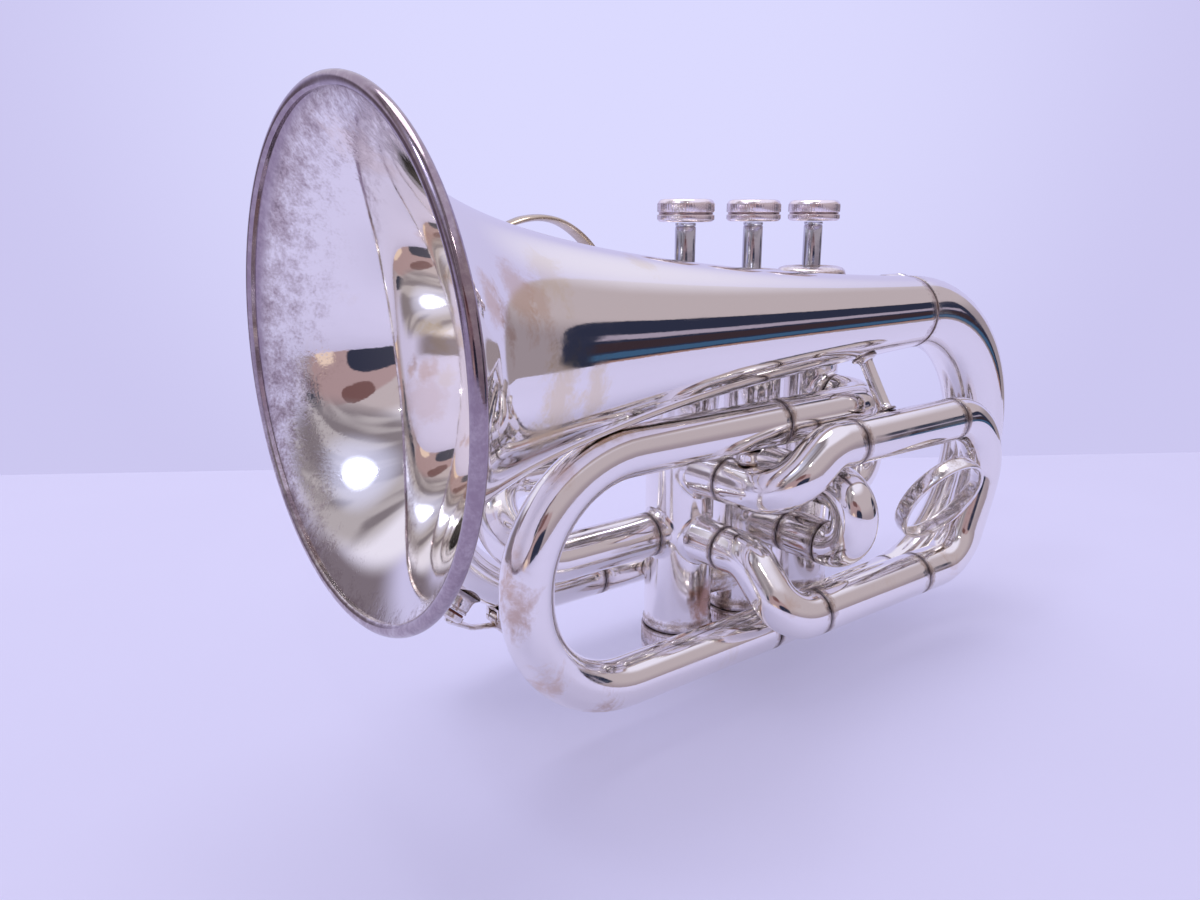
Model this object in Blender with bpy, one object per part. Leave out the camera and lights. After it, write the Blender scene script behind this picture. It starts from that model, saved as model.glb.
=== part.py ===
"""Pocket trumpet: every tube, valve, slide, brace and key as its own solid.

Frame: X runs along the bell axis from the mouth towards the player, Y runs from the near
(slide) side to the far (leadpipe) side, Z is up along the pistons. The origin is the middle of
the flat foot of the second valve's bottom cap. Lengths are worked out in millimetres and
written to the meshes in metres.
"""
import math

import bmesh
import bpy
from mathutils import Matrix, Vector

MM = 0.001

# Clearances and wall thicknesses
GAP = 0.3
LEAD_IN = 0.5
TUBE_WALL = 0.6
SLIDE_CLEARANCE = 0.15
LEG_WALL = 0.5
CASING_WALL = 1.45
THREAD_CLEARANCE = 0.2
CAP_WALL = 0.6
PISTON_CLEARANCE = 0.3
STEM_CLEARANCE = 0.6
STOP_CLEARANCE = 1.2

# Facets round each kind of tube and along its bends
SIDES = 12
CASING_SIDES = 16
BELL_SIDES = 32
ROD_SIDES = 10
BEND_STEP_DEG = 22.5
WIDE_BEND_STEP_DEG = 15.0

# Valves: row along X, first valve nearest the player
VALVE_PITCH = 27.0
VALVE_X = {1: VALVE_PITCH, 2: 0.0, 3: -VALVE_PITCH}
CASING_R = 10.2
CASING_BORE_R = CASING_R - CASING_WALL
CASING_TOP_Z = 112.0
CAP_SKIRT_R = CASING_R + THREAD_CLEARANCE
CAP_R = CAP_SKIRT_R + CAP_WALL
TOP_CAP_ROOF = 3.7
TOP_CAP_Z = CASING_TOP_Z + GAP + TOP_CAP_ROOF
TOP_CAP_H = 7.0
FOOT_CAP_H = 9.6
FOOT_CAP_FLOOR = 2.4
CASING_LOW_Z = FOOT_CAP_FLOOR + GAP

# Buttons and stems
BUTTON_R = 7.9
BUTTON_H = 6.2
STROKE = 13.5
BUTTON_TOP_Z = TOP_CAP_Z + GAP + STROKE + BUTTON_H
STEM_R = 2.9
TOP_CAP_HOLE_R = STEM_R + STEM_CLEARANCE

# Pistons, top sprung: the spring stands on the casing's guide bar and lifts the stem
PISTON_R = CASING_BORE_R - PISTON_CLEARANCE
PISTON_LOW_Z = FOOT_CAP_FLOOR + STROKE + STOP_CLEARANCE
DISC_H = 1.7
STEM_DISC_TOP_Z = CASING_TOP_Z - 0.2
STEM_DISC_LOW_Z = STEM_DISC_TOP_Z - DISC_H
BARREL_TOP_Z = STEM_DISC_LOW_Z - GAP
BARREL_WALL = 1.15
GUIDE_LOW_Z = 84.0
GUIDE_H = 2.0
GUIDE_W = 2.4
PISTON_CORE_TOP_Z = GUIDE_LOW_Z - 1.0
PASSAGE_R = 4.4
NARROW_PASSAGE_R = 3.1
SPRING_R = 5.2
SPRING_WIRE_R = 0.45
SPRING_TURNS = 5
SPRING_STEPS = 8

# Tubing
TUBE_R = 6.5
TUBE_BORE_R = TUBE_R - TUBE_WALL
LEG_R = TUBE_BORE_R - SLIDE_CLEARANCE
LEG_BORE_R = LEG_R - LEG_WALL

# Port heights and how far each port reaches from its casing's axis
PORT_UP_3 = 59.5
PORT_LOW_3 = 39.3
PORT_UP_2 = 57.0
PORT_LOW_2 = 39.0
PORT_UP_1 = 59.0
PORT_LOW_1 = 38.0
ENTRY_Z = 40.5
LINK_32_Z = 22.5
LINK_21_Z = 40.0
TOP_LEG_Z = 76.4
PORT_ROOT = CASING_R / 4.0
PORT_REACH = 20.0
SHORT_PORT_REACH = 12.5
FIRST_REACH = 14.0
FIRST_Y = 4.0

# Bell: the mouth and the tail face along X, and the stem drifts between their two centres
BELL_MOUTH = Vector((-140.7, -29.2, 104.4))
BELL_TAIL = Vector((43.0, -25.0, 102.5))
BELL_RIM_R = 50.4
BELL_TAIL_R = 11.0
BEAD_R = 1.5
BEAD_SEAT = 0.5
BELL_WALL = 0.7
FLARE_PLACE = 10.4
FLARE_POWER = 0.27
FLARE_STATIONS = (0.0, 1.4, 3.6, 7.0, 12.0, 19.0, 28.0, 40.0, 54.0, 71.0, 91.0, 114.0, 141.0, 165.0)

# Back bow and bottom tube of the bell
BACK_BOW_R = 44.0
BACK_BOW_END_R = 7.4

# Front bow of the bell branch
FRONT_Y = -28.2
FRONT_LOW_Z = 15.2
FRONT_BOW_X = -69.4
FRONT_RING_X = -17.8
TOP_LEG_BEND_R = 14.5

# Third slide: sleeve ends along X, bow corners behind the upper sleeve
THIRD_Y = -43.0
THIRD_UP_Z = 71.5
THIRD_LOW_Z = 24.6
THIRD_UP_X = (-4.0, 43.5)
THIRD_LOW_X = (-15.0, 31.0)
THIRD_BOW_REACH = (25.5, 17.5, 9.0)
THIRD_LEG = 34.0

# Finger ring, facing the near side and tipped down
RING_R = 15.0
RING_W = 5.0
RING_T = 1.5
RING_AXIS = Vector((-0.10, -0.88, -0.46)).normalized()
RING_CENTRE = Vector((38.6, THIRD_Y - 2.0, (THIRD_UP_Z + THIRD_LOW_Z) / 2.0))
RING_FOOT_DEG = 16.0

# Second slide
SECOND_SLEEVE = 13.4
SECOND_LEG = 13.0

# First slide
FIRST_SLEEVE = 13.9
FIRST_LEG = 13.2

# Far side: leadpipe, tuning slide, return tube, rear bow, entry bow
FAR_Y = 20.0
LEAD_Z = 102.0
LEAD_R = 6.0
RETURN_Z = 23.0
FORWARD_Z = 60.0
TUNING_X = -59.5
TUNING_SLEEVE_X = (-44.0, -8.0)
TUNING_LEG = 30.0
REAR_BOW_X = 61.5
ENTRY_BOW_X = -70.0
ENTRY_RING_X = -50.0
RECEIVER_X = (60.0, 104.0)
RECEIVER_R = 6.8
RECEIVER_COLLAR_R = 7.6
MOUTH_BORE_R = 5.0

# Water key on the tuning bow, angles in degrees about the bow's middle
NIPPLE_DEG = 229.0
PIVOT_DEG = 246.0
NIPPLE_R = 3.4
NIPPLE_H = 4.8
NIPPLE_BORE_R = 1.5
CORK_R = 2.9
CORK_H = 1.6
PIVOT_RISE = 3.2
KEY_W = 4.0
KEY_EAR = 1.4
KEY_PIN_R = 0.8
KEY_BARREL_R = 1.9

# Lever of the water key: a flat strip, its half-width at each bend as a share of LEVER_R
LEVER_R = 1.9
LEVER_FLAT = 0.42
LEVER_LIFT = 1.5
LEVER_BEND_RISE = 7.6
LEVER_TAB_RISE = 9.0
LEVER_TAB = 4.0
LEVER_SWELL = (1.0, 1.21, 0.84, 0.9, 1.16, 1.26)

# Pinky hook: a strip HOOK_FLAT times wider than it is thick. Its places are shares of its reach
# towards the bell and of its height, and its swell is a share of HOOK_T at each place
HOOK_X = -40.0
HOOK_REACH = 33.0
HOOK_RISE = 22.2
HOOK_T = 1.0
HOOK_FLAT = 3.5
HOOK_PLACES = ((0.0, 0.0), (0.0, 0.045), (0.018, 0.225), (0.073, 0.432), (0.176, 0.631),
               (0.315, 0.811), (0.485, 0.946), (0.667, 1.0), (0.848, 0.982), (1.0, 0.919))
HOOK_SWELL = (1.3, 1.3, 1.1, 1.0, 1.0, 1.0, 1.0, 1.0, 0.9, 0.7)

# Braces
POST_R = 2.2
POST_FLANGE_R = 3.0

SILVER = (0.86, 0.84, 0.81, 1.0)
NICKEL = (0.62, 0.62, 0.64, 1.0)
TARNISHED = (0.72, 0.62, 0.58, 1.0)
CORK_BROWN = (0.36, 0.16, 0.10, 1.0)
SPRING_STEEL = (0.45, 0.45, 0.46, 1.0)


def clear_objects():
    """Remove whatever the file holds before modelling."""
    for item in list(bpy.data.objects):
        bpy.data.objects.remove(item, do_unlink=True)


def material(name, colour, roughness, metallic=1.0):
    """Return a Principled material made once per name."""
    found = bpy.data.materials.get(name)
    if found:
        return found
    made = bpy.data.materials.new(name)
    made.use_nodes = True
    shader = made.node_tree.nodes["Principled BSDF"]
    shader.inputs["Base Color"].default_value = colour
    shader.inputs["Roughness"].default_value = roughness
    shader.inputs["Metallic"].default_value = metallic
    made.diffuse_color = colour
    return made


def publish(name, bm, origin, finish):
    """Turn a bmesh written in millimetres into a named object whose origin is given."""
    bmesh.ops.recalc_face_normals(bm, faces=bm.faces)
    if bm.calc_volume(signed=True) < 0.0:
        bmesh.ops.reverse_faces(bm, faces=bm.faces)
    bmesh.ops.translate(bm, verts=bm.verts, vec=-Vector(origin))
    bmesh.ops.scale(bm, verts=bm.verts, vec=(MM, MM, MM))
    mesh = bpy.data.meshes.new(name)
    bm.to_mesh(mesh)
    bm.free()
    mesh.shade_smooth()
    mesh.set_sharp_from_angle(angle=math.radians(35.0))
    item = bpy.data.objects.new(name, mesh)
    item.location = Vector(origin) * MM
    mesh.materials.append(finish)
    bpy.context.scene.collection.objects.link(item)
    return item


def hidden(name, bm):
    """Make a helper solid for a Boolean, left out of the model itself."""
    item = publish(name, bm, (0.0, 0.0, 0.0), material("helper", SILVER, 0.5))
    item.hide_render = True
    item.display_type = "WIRE"
    return item


def combine(item, helper, operation):
    """Add an exact Boolean with a helper solid."""
    step = item.modifiers.new(operation.title(), "BOOLEAN")
    step.operation = operation
    step.solver = "EXACT"
    step.object = helper


def rounded(corners, radii, step_deg=BEND_STEP_DEG):
    """Return the points of a path whose inner corners are rounded to the given radii."""
    corners = [Vector(c) for c in corners]
    points = [corners[0]]
    for index, radius in enumerate(radii, start=1):
        before, corner, after = corners[index - 1], corners[index], corners[index + 1]
        back = (before - corner).normalized()
        ahead = (after - corner).normalized()
        half = back.angle(ahead) / 2.0
        reach = radius / math.tan(half)
        centre = corner + (back + ahead).normalized() * (radius / math.sin(half))
        first = corner + back * reach - centre
        last = corner + ahead * reach - centre
        turn = first.angle(last)
        steps = max(2, round(math.degrees(turn) / step_deg))
        for k in range(steps + 1):
            share = k / steps
            spoke = first * math.sin((1.0 - share) * turn) + last * math.sin(share * turn)
            points.append(centre + spoke / math.sin(turn))
    points.append(corners[-1])
    kept = [points[0]]
    for point in points[1:]:
        if (point - kept[-1]).length > 0.05:
            kept.append(point)
    return kept


def frames(points):
    """Return one (point, side, up) per point, carried along without twist."""
    tangents = []
    for k, point in enumerate(points):
        before = points[max(k - 1, 0)]
        after = points[min(k + 1, len(points) - 1)]
        ahead = (after - point).normalized() if k + 1 < len(points) else Vector()
        behind = (point - before).normalized() if k else Vector()
        tangents.append((ahead + behind).normalized())
    seed = Vector((0.0, 0.0, 1.0)) if abs(tangents[0].z) < 0.9 else Vector((0.0, 1.0, 0.0))
    side = tangents[0].cross(seed).normalized()
    result = []
    for k, point in enumerate(points):
        if k:
            side = tangents[k - 1].rotation_difference(tangents[k]) @ side
        side = (side - tangents[k] * side.dot(tangents[k])).normalized()
        result.append((point, side, tangents[k].cross(side)))
    return result


def loop(bm, frame, radius, sides, flat=1.0):
    """Add one ring of vertices; flat squashes it along the frame's second direction."""
    point, side, up = frame
    ring = []
    for k in range(sides):
        turn = 2.0 * math.pi * (k + 0.5) / sides
        ring.append(bm.verts.new(point + side * (radius * math.cos(turn))
                                 + up * (radius * flat * math.sin(turn))))
    return ring


def skin(bm, first, second):
    """Join two rings of equal size with quads."""
    count = len(first)
    for k in range(count):
        bm.faces.new((first[k], first[(k + 1) % count], second[(k + 1) % count], second[k]))


def pipe_mesh(points, outer, bore, sides=SIDES):
    """Sweep a hollow tube; outer and bore are one radius or one radius per point."""
    bm = bmesh.new()
    ways = frames(points)
    outer = [outer] * len(ways) if isinstance(outer, (int, float)) else outer
    bore = [bore] * len(ways) if isinstance(bore, (int, float)) else bore
    outside = [loop(bm, way, r, sides) for way, r in zip(ways, outer)]
    inside = [loop(bm, way, r, sides) for way, r in zip(ways, bore)]
    for k in range(len(ways) - 1):
        skin(bm, outside[k], outside[k + 1])
        skin(bm, inside[k], inside[k + 1])
    skin(bm, outside[0], inside[0])
    skin(bm, outside[-1], inside[-1])
    return bm


def rod_mesh(points, radius, sides=12, flat=1.0, bm=None):
    """Sweep a solid rod or strip with closed ends."""
    bm = bmesh.new() if bm is None else bm
    ways = frames([Vector(p) for p in points])
    radius = [radius] * len(ways) if isinstance(radius, (int, float)) else radius
    rings = [loop(bm, way, r, sides, flat) for way, r in zip(ways, radius)]
    for k in range(len(rings) - 1):
        skin(bm, rings[k], rings[k + 1])
    bm.faces.new(rings[0])
    bm.faces.new(rings[-1])
    return bm


def turned_mesh(start, axis, outline, sides=SIDES, bm=None):
    """Turn a closed outline of (distance along axis, radius) pairs about the axis."""
    bm = bmesh.new() if bm is None else bm
    axis = Vector(axis).normalized()
    seed = Vector((0.0, 0.0, 1.0)) if abs(axis.z) < 0.9 else Vector((0.0, 1.0, 0.0))
    side = axis.cross(seed).normalized()
    up = axis.cross(side)
    rings = [loop(bm, (Vector(start) + axis * along, side, up), r, sides) if r > 1e-6
             else [bm.verts.new(Vector(start) + axis * along)] for along, r in outline]
    for k, first in enumerate(rings):
        second = rings[(k + 1) % len(rings)]
        if len(first) > 1 and len(second) > 1:
            skin(bm, first, second)
            continue
        if len(first) == len(second):
            continue
        hub, rim = (first[0], second) if len(first) == 1 else (second[0], first)
        for j in range(sides):
            bm.faces.new((hub, rim[j], rim[(j + 1) % sides]))
    return bm


def block_mesh(low, high, bm=None):
    """Make a box between two corners."""
    bm = bmesh.new() if bm is None else bm
    low, high = Vector(low), Vector(high)
    made = bmesh.ops.create_cube(bm, size=1.0)["verts"]
    bmesh.ops.scale(bm, verts=made, vec=high - low)
    bmesh.ops.translate(bm, verts=made, vec=(low + high) / 2.0)
    return bm


def pipe(name, points, outer=TUBE_R, bore=TUBE_BORE_R, sides=SIDES, finish=None, origin=None):
    """Publish a swept hollow tube."""
    return publish(name, pipe_mesh(points, outer, bore, sides), origin or points[0],
                   finish or material("silver_plate", SILVER, 0.12))


def port_list(number):
    """Return (direction, height, reach, side offset) for each port of one valve."""
    near, front, back = Vector((0, -1, 0)), Vector((-1, 0, 0)), Vector((1, 0, 0))
    if number == 3:
        return [(front, ENTRY_Z, SHORT_PORT_REACH, 0.0), (near, PORT_UP_3, PORT_REACH, 0.0),
                (near, PORT_LOW_3, PORT_REACH, 0.0), (back, LINK_32_Z, 0.0, 0.0)]
    if number == 2:
        return [(front, LINK_32_Z, 0.0, 0.0), (near, PORT_UP_2, PORT_REACH, 0.0),
                (near, PORT_LOW_2, PORT_REACH, 0.0), (back, LINK_21_Z, 0.0, 0.0)]
    return [(front, LINK_21_Z, 0.0, 0.0), (near, TOP_LEG_Z, SHORT_PORT_REACH, 0.0),
            (back, PORT_UP_1, FIRST_REACH, FIRST_Y), (back, PORT_LOW_1, FIRST_REACH, FIRST_Y)]


def casing(number):
    """A valve casing: bored tube with its ports as short stubs and the spring's guide bar."""
    base = Vector((VALVE_X[number], 0.0, 0.0))

    def post(low, high, radius):
        return rod_mesh([base + Vector((0.0, 0.0, low)), base + Vector((0.0, 0.0, high))],
                        radius, CASING_SIDES)

    item = publish(f"valve_casing_{number}", post(CASING_LOW_Z, CASING_TOP_Z, CASING_R), base,
                   material("silver_plate", SILVER, 0.12))
    ports = list(enumerate(port_list(number)))
    for k, (way, height, reach, offset) in ports:
        root = base + Vector((0.0, offset, height))
        if reach:
            stub = rod_mesh([root + way * PORT_ROOT, root + way * reach], TUBE_R, SIDES)
            combine(item, hidden(f"casing_stub_{number}_{k}", stub), "UNION")
    bore = post(CASING_LOW_Z - LEAD_IN, CASING_TOP_Z + LEAD_IN, CASING_BORE_R)
    combine(item, hidden(f"casing_bore_{number}", bore), "DIFFERENCE")
    for k, (way, height, reach, offset) in ports:
        root = base + Vector((0.0, offset, height))
        hole = rod_mesh([root + way * (PORT_ROOT + LEAD_IN),
                         root + way * (max(reach, CASING_R) + LEAD_IN)], TUBE_BORE_R, SIDES)
        combine(item, hidden(f"casing_port_{number}_{k}", hole), "DIFFERENCE")
    reach = (CASING_BORE_R + CASING_R) / 2.0
    bar = block_mesh(base + Vector((-GUIDE_W / 2.0, -reach, GUIDE_LOW_Z)),
                     base + Vector((GUIDE_W / 2.0, reach, GUIDE_LOW_Z + GUIDE_H)))
    combine(item, hidden(f"guide_bar_{number}", bar), "UNION")


def caps(number):
    """The knurled top cap and foot cap of one valve."""
    base = Vector((VALVE_X[number], 0.0, 0.0))
    low = TOP_CAP_Z - TOP_CAP_H
    roof = CASING_TOP_Z + 0.3
    publish(f"top_cap_{number}",
            turned_mesh(base, (0, 0, 1), ((low, CAP_SKIRT_R), (low, CAP_R),
                                          (TOP_CAP_Z - 1.0, CAP_R), (TOP_CAP_Z, CAP_R - 1.6),
                                          (TOP_CAP_Z, TOP_CAP_HOLE_R), (roof, TOP_CAP_HOLE_R),
                                          (roof, CAP_SKIRT_R)), CASING_SIDES),
            base, material("tarnished_silver", TARNISHED, 0.3))
    publish(f"bottom_cap_{number}",
            turned_mesh(base, (0, 0, 1), ((FOOT_CAP_H, CAP_SKIRT_R), (FOOT_CAP_H, CAP_R),
                                          (1.2, CAP_R), (0.0, CAP_R - 1.2), (0.0, 0.0),
                                          (FOOT_CAP_FLOOR, 0.0),
                                          (FOOT_CAP_FLOOR, CAP_SKIRT_R)), CASING_SIDES),
            base, material("tarnished_silver", TARNISHED, 0.3))


def piston_passages(number):
    """Return (points, radius) for each windway through one piston at rest.

    The first is the straight way that is open at rest. The others stand one stroke higher and
    meet the slide's ports when the piston is down.
    """
    lift = Vector((0.0, 0.0, STROKE))
    edge = CASING_R + 1.0
    front, back, near = Vector((-edge, 0, 0)), Vector((edge, 0, 0)), Vector((0, -edge, 0))

    def at(side, height):
        return side + Vector((0.0, 0.0, height))

    if number == 1:
        aside = Vector((-NARROW_PASSAGE_R, -NARROW_PASSAGE_R, 0.0))
        far = Vector((0.0, NARROW_PASSAGE_R + 0.5, 0.0))
        rest = [at(front, LINK_21_Z), at(aside, LINK_21_Z + 6.0), at(aside, TOP_LEG_Z - 8.0),
                at(near, TOP_LEG_Z)]
        return [(rest, NARROW_PASSAGE_R),
                ([at(front + far, LINK_21_Z) + lift, at(back + far, PORT_LOW_1) + lift],
                 NARROW_PASSAGE_R),
                ([at(front + far, PORT_UP_1) + lift, at(back + far, PORT_UP_1) + lift],
                 NARROW_PASSAGE_R)]
    if number == 2:
        enter, leave, high, low = LINK_32_Z, LINK_21_Z, PORT_UP_2, PORT_LOW_2
        first, second = (enter, low), (leave, high)
    else:
        enter, leave, high, low = ENTRY_Z, LINK_32_Z, PORT_UP_3, PORT_LOW_3
        first, second = (enter, high), (leave, low)
    axis = Vector((0.0, 0.0, 0.0))
    ways = [([at(front, enter), at(back, leave)], PASSAGE_R)]
    for side, (main_z, port_z) in ((front, first), (back, second)):
        ways.append(([at(side, main_z) + lift, at(axis, (main_z + port_z) / 2.0) + lift,
                      at(near, port_z) + lift], PASSAGE_R))
    return ways


def piston_set(number):
    """Piston with its spring barrel, stem, button and spring."""
    base = Vector((VALVE_X[number], 0.0, 0.0))
    origin = base + Vector((0.0, 0.0, PISTON_LOW_Z))
    barrel = PISTON_R - BARREL_WALL
    item = publish(f"piston_{number}",
                   turned_mesh(base, (0, 0, 1), ((PISTON_LOW_Z, 0.0), (PISTON_LOW_Z, PISTON_R),
                                                 (BARREL_TOP_Z, PISTON_R),
                                                 (BARREL_TOP_Z, barrel),
                                                 (PISTON_CORE_TOP_Z, barrel),
                                                 (PISTON_CORE_TOP_Z, 0.0)), CASING_SIDES),
                   origin, material("valve_nickel", NICKEL, 0.2))
    bores = bmesh.new()
    for points, radius in piston_passages(number):
        rod_mesh([base + point for point in points], radius, SIDES, bm=bores)
    slot = GUIDE_W / 2.0 + 0.5
    block_mesh(base + Vector((-slot, -CASING_R, GUIDE_LOW_Z - 0.4)),
               base + Vector((slot, CASING_R, GUIDE_LOW_Z + GUIDE_H + STROKE + 1.0)), bm=bores)
    combine(item, hidden(f"piston_bores_{number}", bores), "DIFFERENCE")
    top = BUTTON_TOP_Z - BUTTON_H
    publish(f"stem_{number}",
            turned_mesh(base, (0, 0, 1), ((STEM_DISC_LOW_Z, 0.0), (STEM_DISC_LOW_Z, PISTON_R),
                                          (STEM_DISC_TOP_Z, PISTON_R), (STEM_DISC_TOP_Z, STEM_R),
                                          (top - GAP, STEM_R), (top - GAP, 0.0)), SIDES),
            origin, material("stem_steel", NICKEL, 0.08))
    publish(f"button_{number}",
            turned_mesh(base, (0, 0, 1), ((top, 0.0), (top, BUTTON_R - 0.6),
                                          (top + 0.6, BUTTON_R), (top + 2.6, BUTTON_R),
                                          (top + 2.9, BUTTON_R - 0.4),
                                          (top + 3.5, BUTTON_R - 0.4),
                                          (top + 3.8, BUTTON_R),
                                          (BUTTON_TOP_Z - 0.8, BUTTON_R),
                                          (BUTTON_TOP_Z, BUTTON_R - 1.0),
                                          (BUTTON_TOP_Z, 0.0)), CASING_SIDES),
            origin, material("button_silver", TARNISHED, 0.35))
    low = GUIDE_LOW_Z + GUIDE_H + GAP + SPRING_WIRE_R
    high = STEM_DISC_LOW_Z - GAP - SPRING_WIRE_R
    count = SPRING_TURNS * SPRING_STEPS
    coil = []
    for k in range(count + 1):
        turn = 2.0 * math.pi * SPRING_TURNS * k / count
        coil.append(base + Vector((SPRING_R * math.cos(turn), SPRING_R * math.sin(turn),
                                   low + (high - low) * k / count)))
    publish(f"piston_spring_{number}", rod_mesh(coil, SPRING_WIRE_R, 4),
            base + Vector((0.0, 0.0, low)), material("spring_steel", SPRING_STEEL, 0.3))


def link(name, x_from, x_to, height):
    """Short tube between two casings, cut to their round walls."""
    start, end = Vector((x_from, 0.0, height)), Vector((x_to, 0.0, height))
    inset = Vector((CASING_BORE_R / 2.0, 0.0, 0.0))
    item = pipe(name, [start + inset, end - inset])
    tall = Vector((0.0, 0.0, 2.0 * TUBE_R))
    for tag, middle in (("a", start), ("b", end)):
        wall = rod_mesh([middle - tall, middle + tall], CASING_R + GAP, CASING_SIDES)
        combine(item, hidden(f"{name}_wall_{tag}", wall), "DIFFERENCE")


def flare(along):
    """Outer radius of the bell at a distance behind its mouth."""
    length = BELL_TAIL.x - BELL_MOUTH.x
    tail = (FLARE_PLACE / (length + FLARE_PLACE)) ** FLARE_POWER
    here = (FLARE_PLACE / (along + FLARE_PLACE)) ** FLARE_POWER
    return BELL_TAIL_R + (BELL_RIM_R - BELL_TAIL_R) * (here - tail) / (1.0 - tail)


def bell_drift(along):
    """Sideways shift of the bell's centre from the mouth's, easing in and out."""
    share = min(1.0, max(0.0, along / (BELL_TAIL.x - BELL_MOUTH.x)))
    shift = BELL_TAIL - BELL_MOUTH
    return Vector((0.0, shift.y, shift.z)) * (share * share * (3.0 - 2.0 * share))


def bell():
    """The flare and stem with a rolled bead at the mouth."""
    length = BELL_TAIL.x - BELL_MOUTH.x
    outside = [(along, flare(along)) for along in FLARE_STATIONS] + [(length, BELL_TAIL_R)]
    inside = [(along, radius - BELL_WALL) for along, radius in outside]
    inside[0] = (-0.1, BELL_RIM_R - BELL_WALL)
    bead = []
    for deg in (230.0, 170.0, 110.0, 50.0, -10.0):
        turn = math.radians(deg)
        bead.append((BEAD_R * math.cos(turn),
                     BELL_RIM_R + BEAD_SEAT + BEAD_R * math.sin(turn)))
    outline = inside[::-1] + bead + outside[1:]
    bm = turned_mesh(BELL_MOUTH, (1, 0, 0), outline, BELL_SIDES)
    for vert in bm.verts:
        vert.co += bell_drift(vert.co.x - BELL_MOUTH.x)
    publish("bell", bm, BELL_MOUTH, material("bell_silver", SILVER, 0.1))


def bell_branch():
    """Back bow, bottom tube, front bow and top leg up to the first valve."""
    top = BELL_TAIL + Vector((2.0 * GAP, 0.0, 0.0))
    low_z = top.z - 2.0 * BACK_BOW_R
    corner = top.x + BACK_BOW_R
    route = rounded([top, (corner, top.y, top.z), (corner, top.y, low_z),
                     (top.x, top.y, low_z)], [BACK_BOW_R - LEAD_IN] * 2, WIDE_BEND_STEP_DEG)
    count = len(route) - 1
    slim = BACK_BOW_END_R
    outer = [BELL_TAIL_R + (slim - BELL_TAIL_R) * (k / count) ** 1.5 for k in range(count + 1)]
    pipe("bell_back_bow", route, outer, [r - BELL_WALL for r in outer])
    end = Vector((FRONT_RING_X, FRONT_Y, FRONT_LOW_Z))
    start = Vector((top.x - GAP, top.y, low_z))
    square = Vector((1.0, 0.0, 0.0))
    pipe("bell_bottom_tube", [start, start - square, end + square, end],
         [slim, slim, TUBE_R, TUBE_R],
         [slim - BELL_WALL, slim - BELL_WALL, TUBE_BORE_R, TUBE_BORE_R])
    reach = (TOP_LEG_Z - FRONT_LOW_Z) / 2.0
    apex = FRONT_BOW_X - reach
    ring = FRONT_RING_X - GAP
    pipe("front_bow", rounded([(ring, FRONT_Y, TOP_LEG_Z), (apex, FRONT_Y, TOP_LEG_Z),
                               (apex, FRONT_Y, FRONT_LOW_Z), (ring, FRONT_Y, FRONT_LOW_Z)],
                              [reach - LEAD_IN] * 2, WIDE_BEND_STEP_DEG))
    x = VALVE_X[1]
    pipe("top_leg", rounded([(FRONT_RING_X, FRONT_Y, TOP_LEG_Z), (x, FRONT_Y, TOP_LEG_Z),
                             (x, -SHORT_PORT_REACH - GAP, TOP_LEG_Z)], [TOP_LEG_BEND_R]))


def slide(name, route, leg_start, leg_end):
    """A slide: a bow whose slimmer legs reach into its two sleeves."""
    points = [leg_start, route[0] + (leg_start - route[0]).normalized() * 0.05]
    points += route
    points += [route[-1] + (leg_end - route[-1]).normalized() * 0.05, leg_end]
    outer = [LEG_R, LEG_R] + [TUBE_R] * len(route) + [LEG_R, LEG_R]
    return pipe(name, points, outer, LEG_BORE_R, SIDES, origin=route[0])


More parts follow.
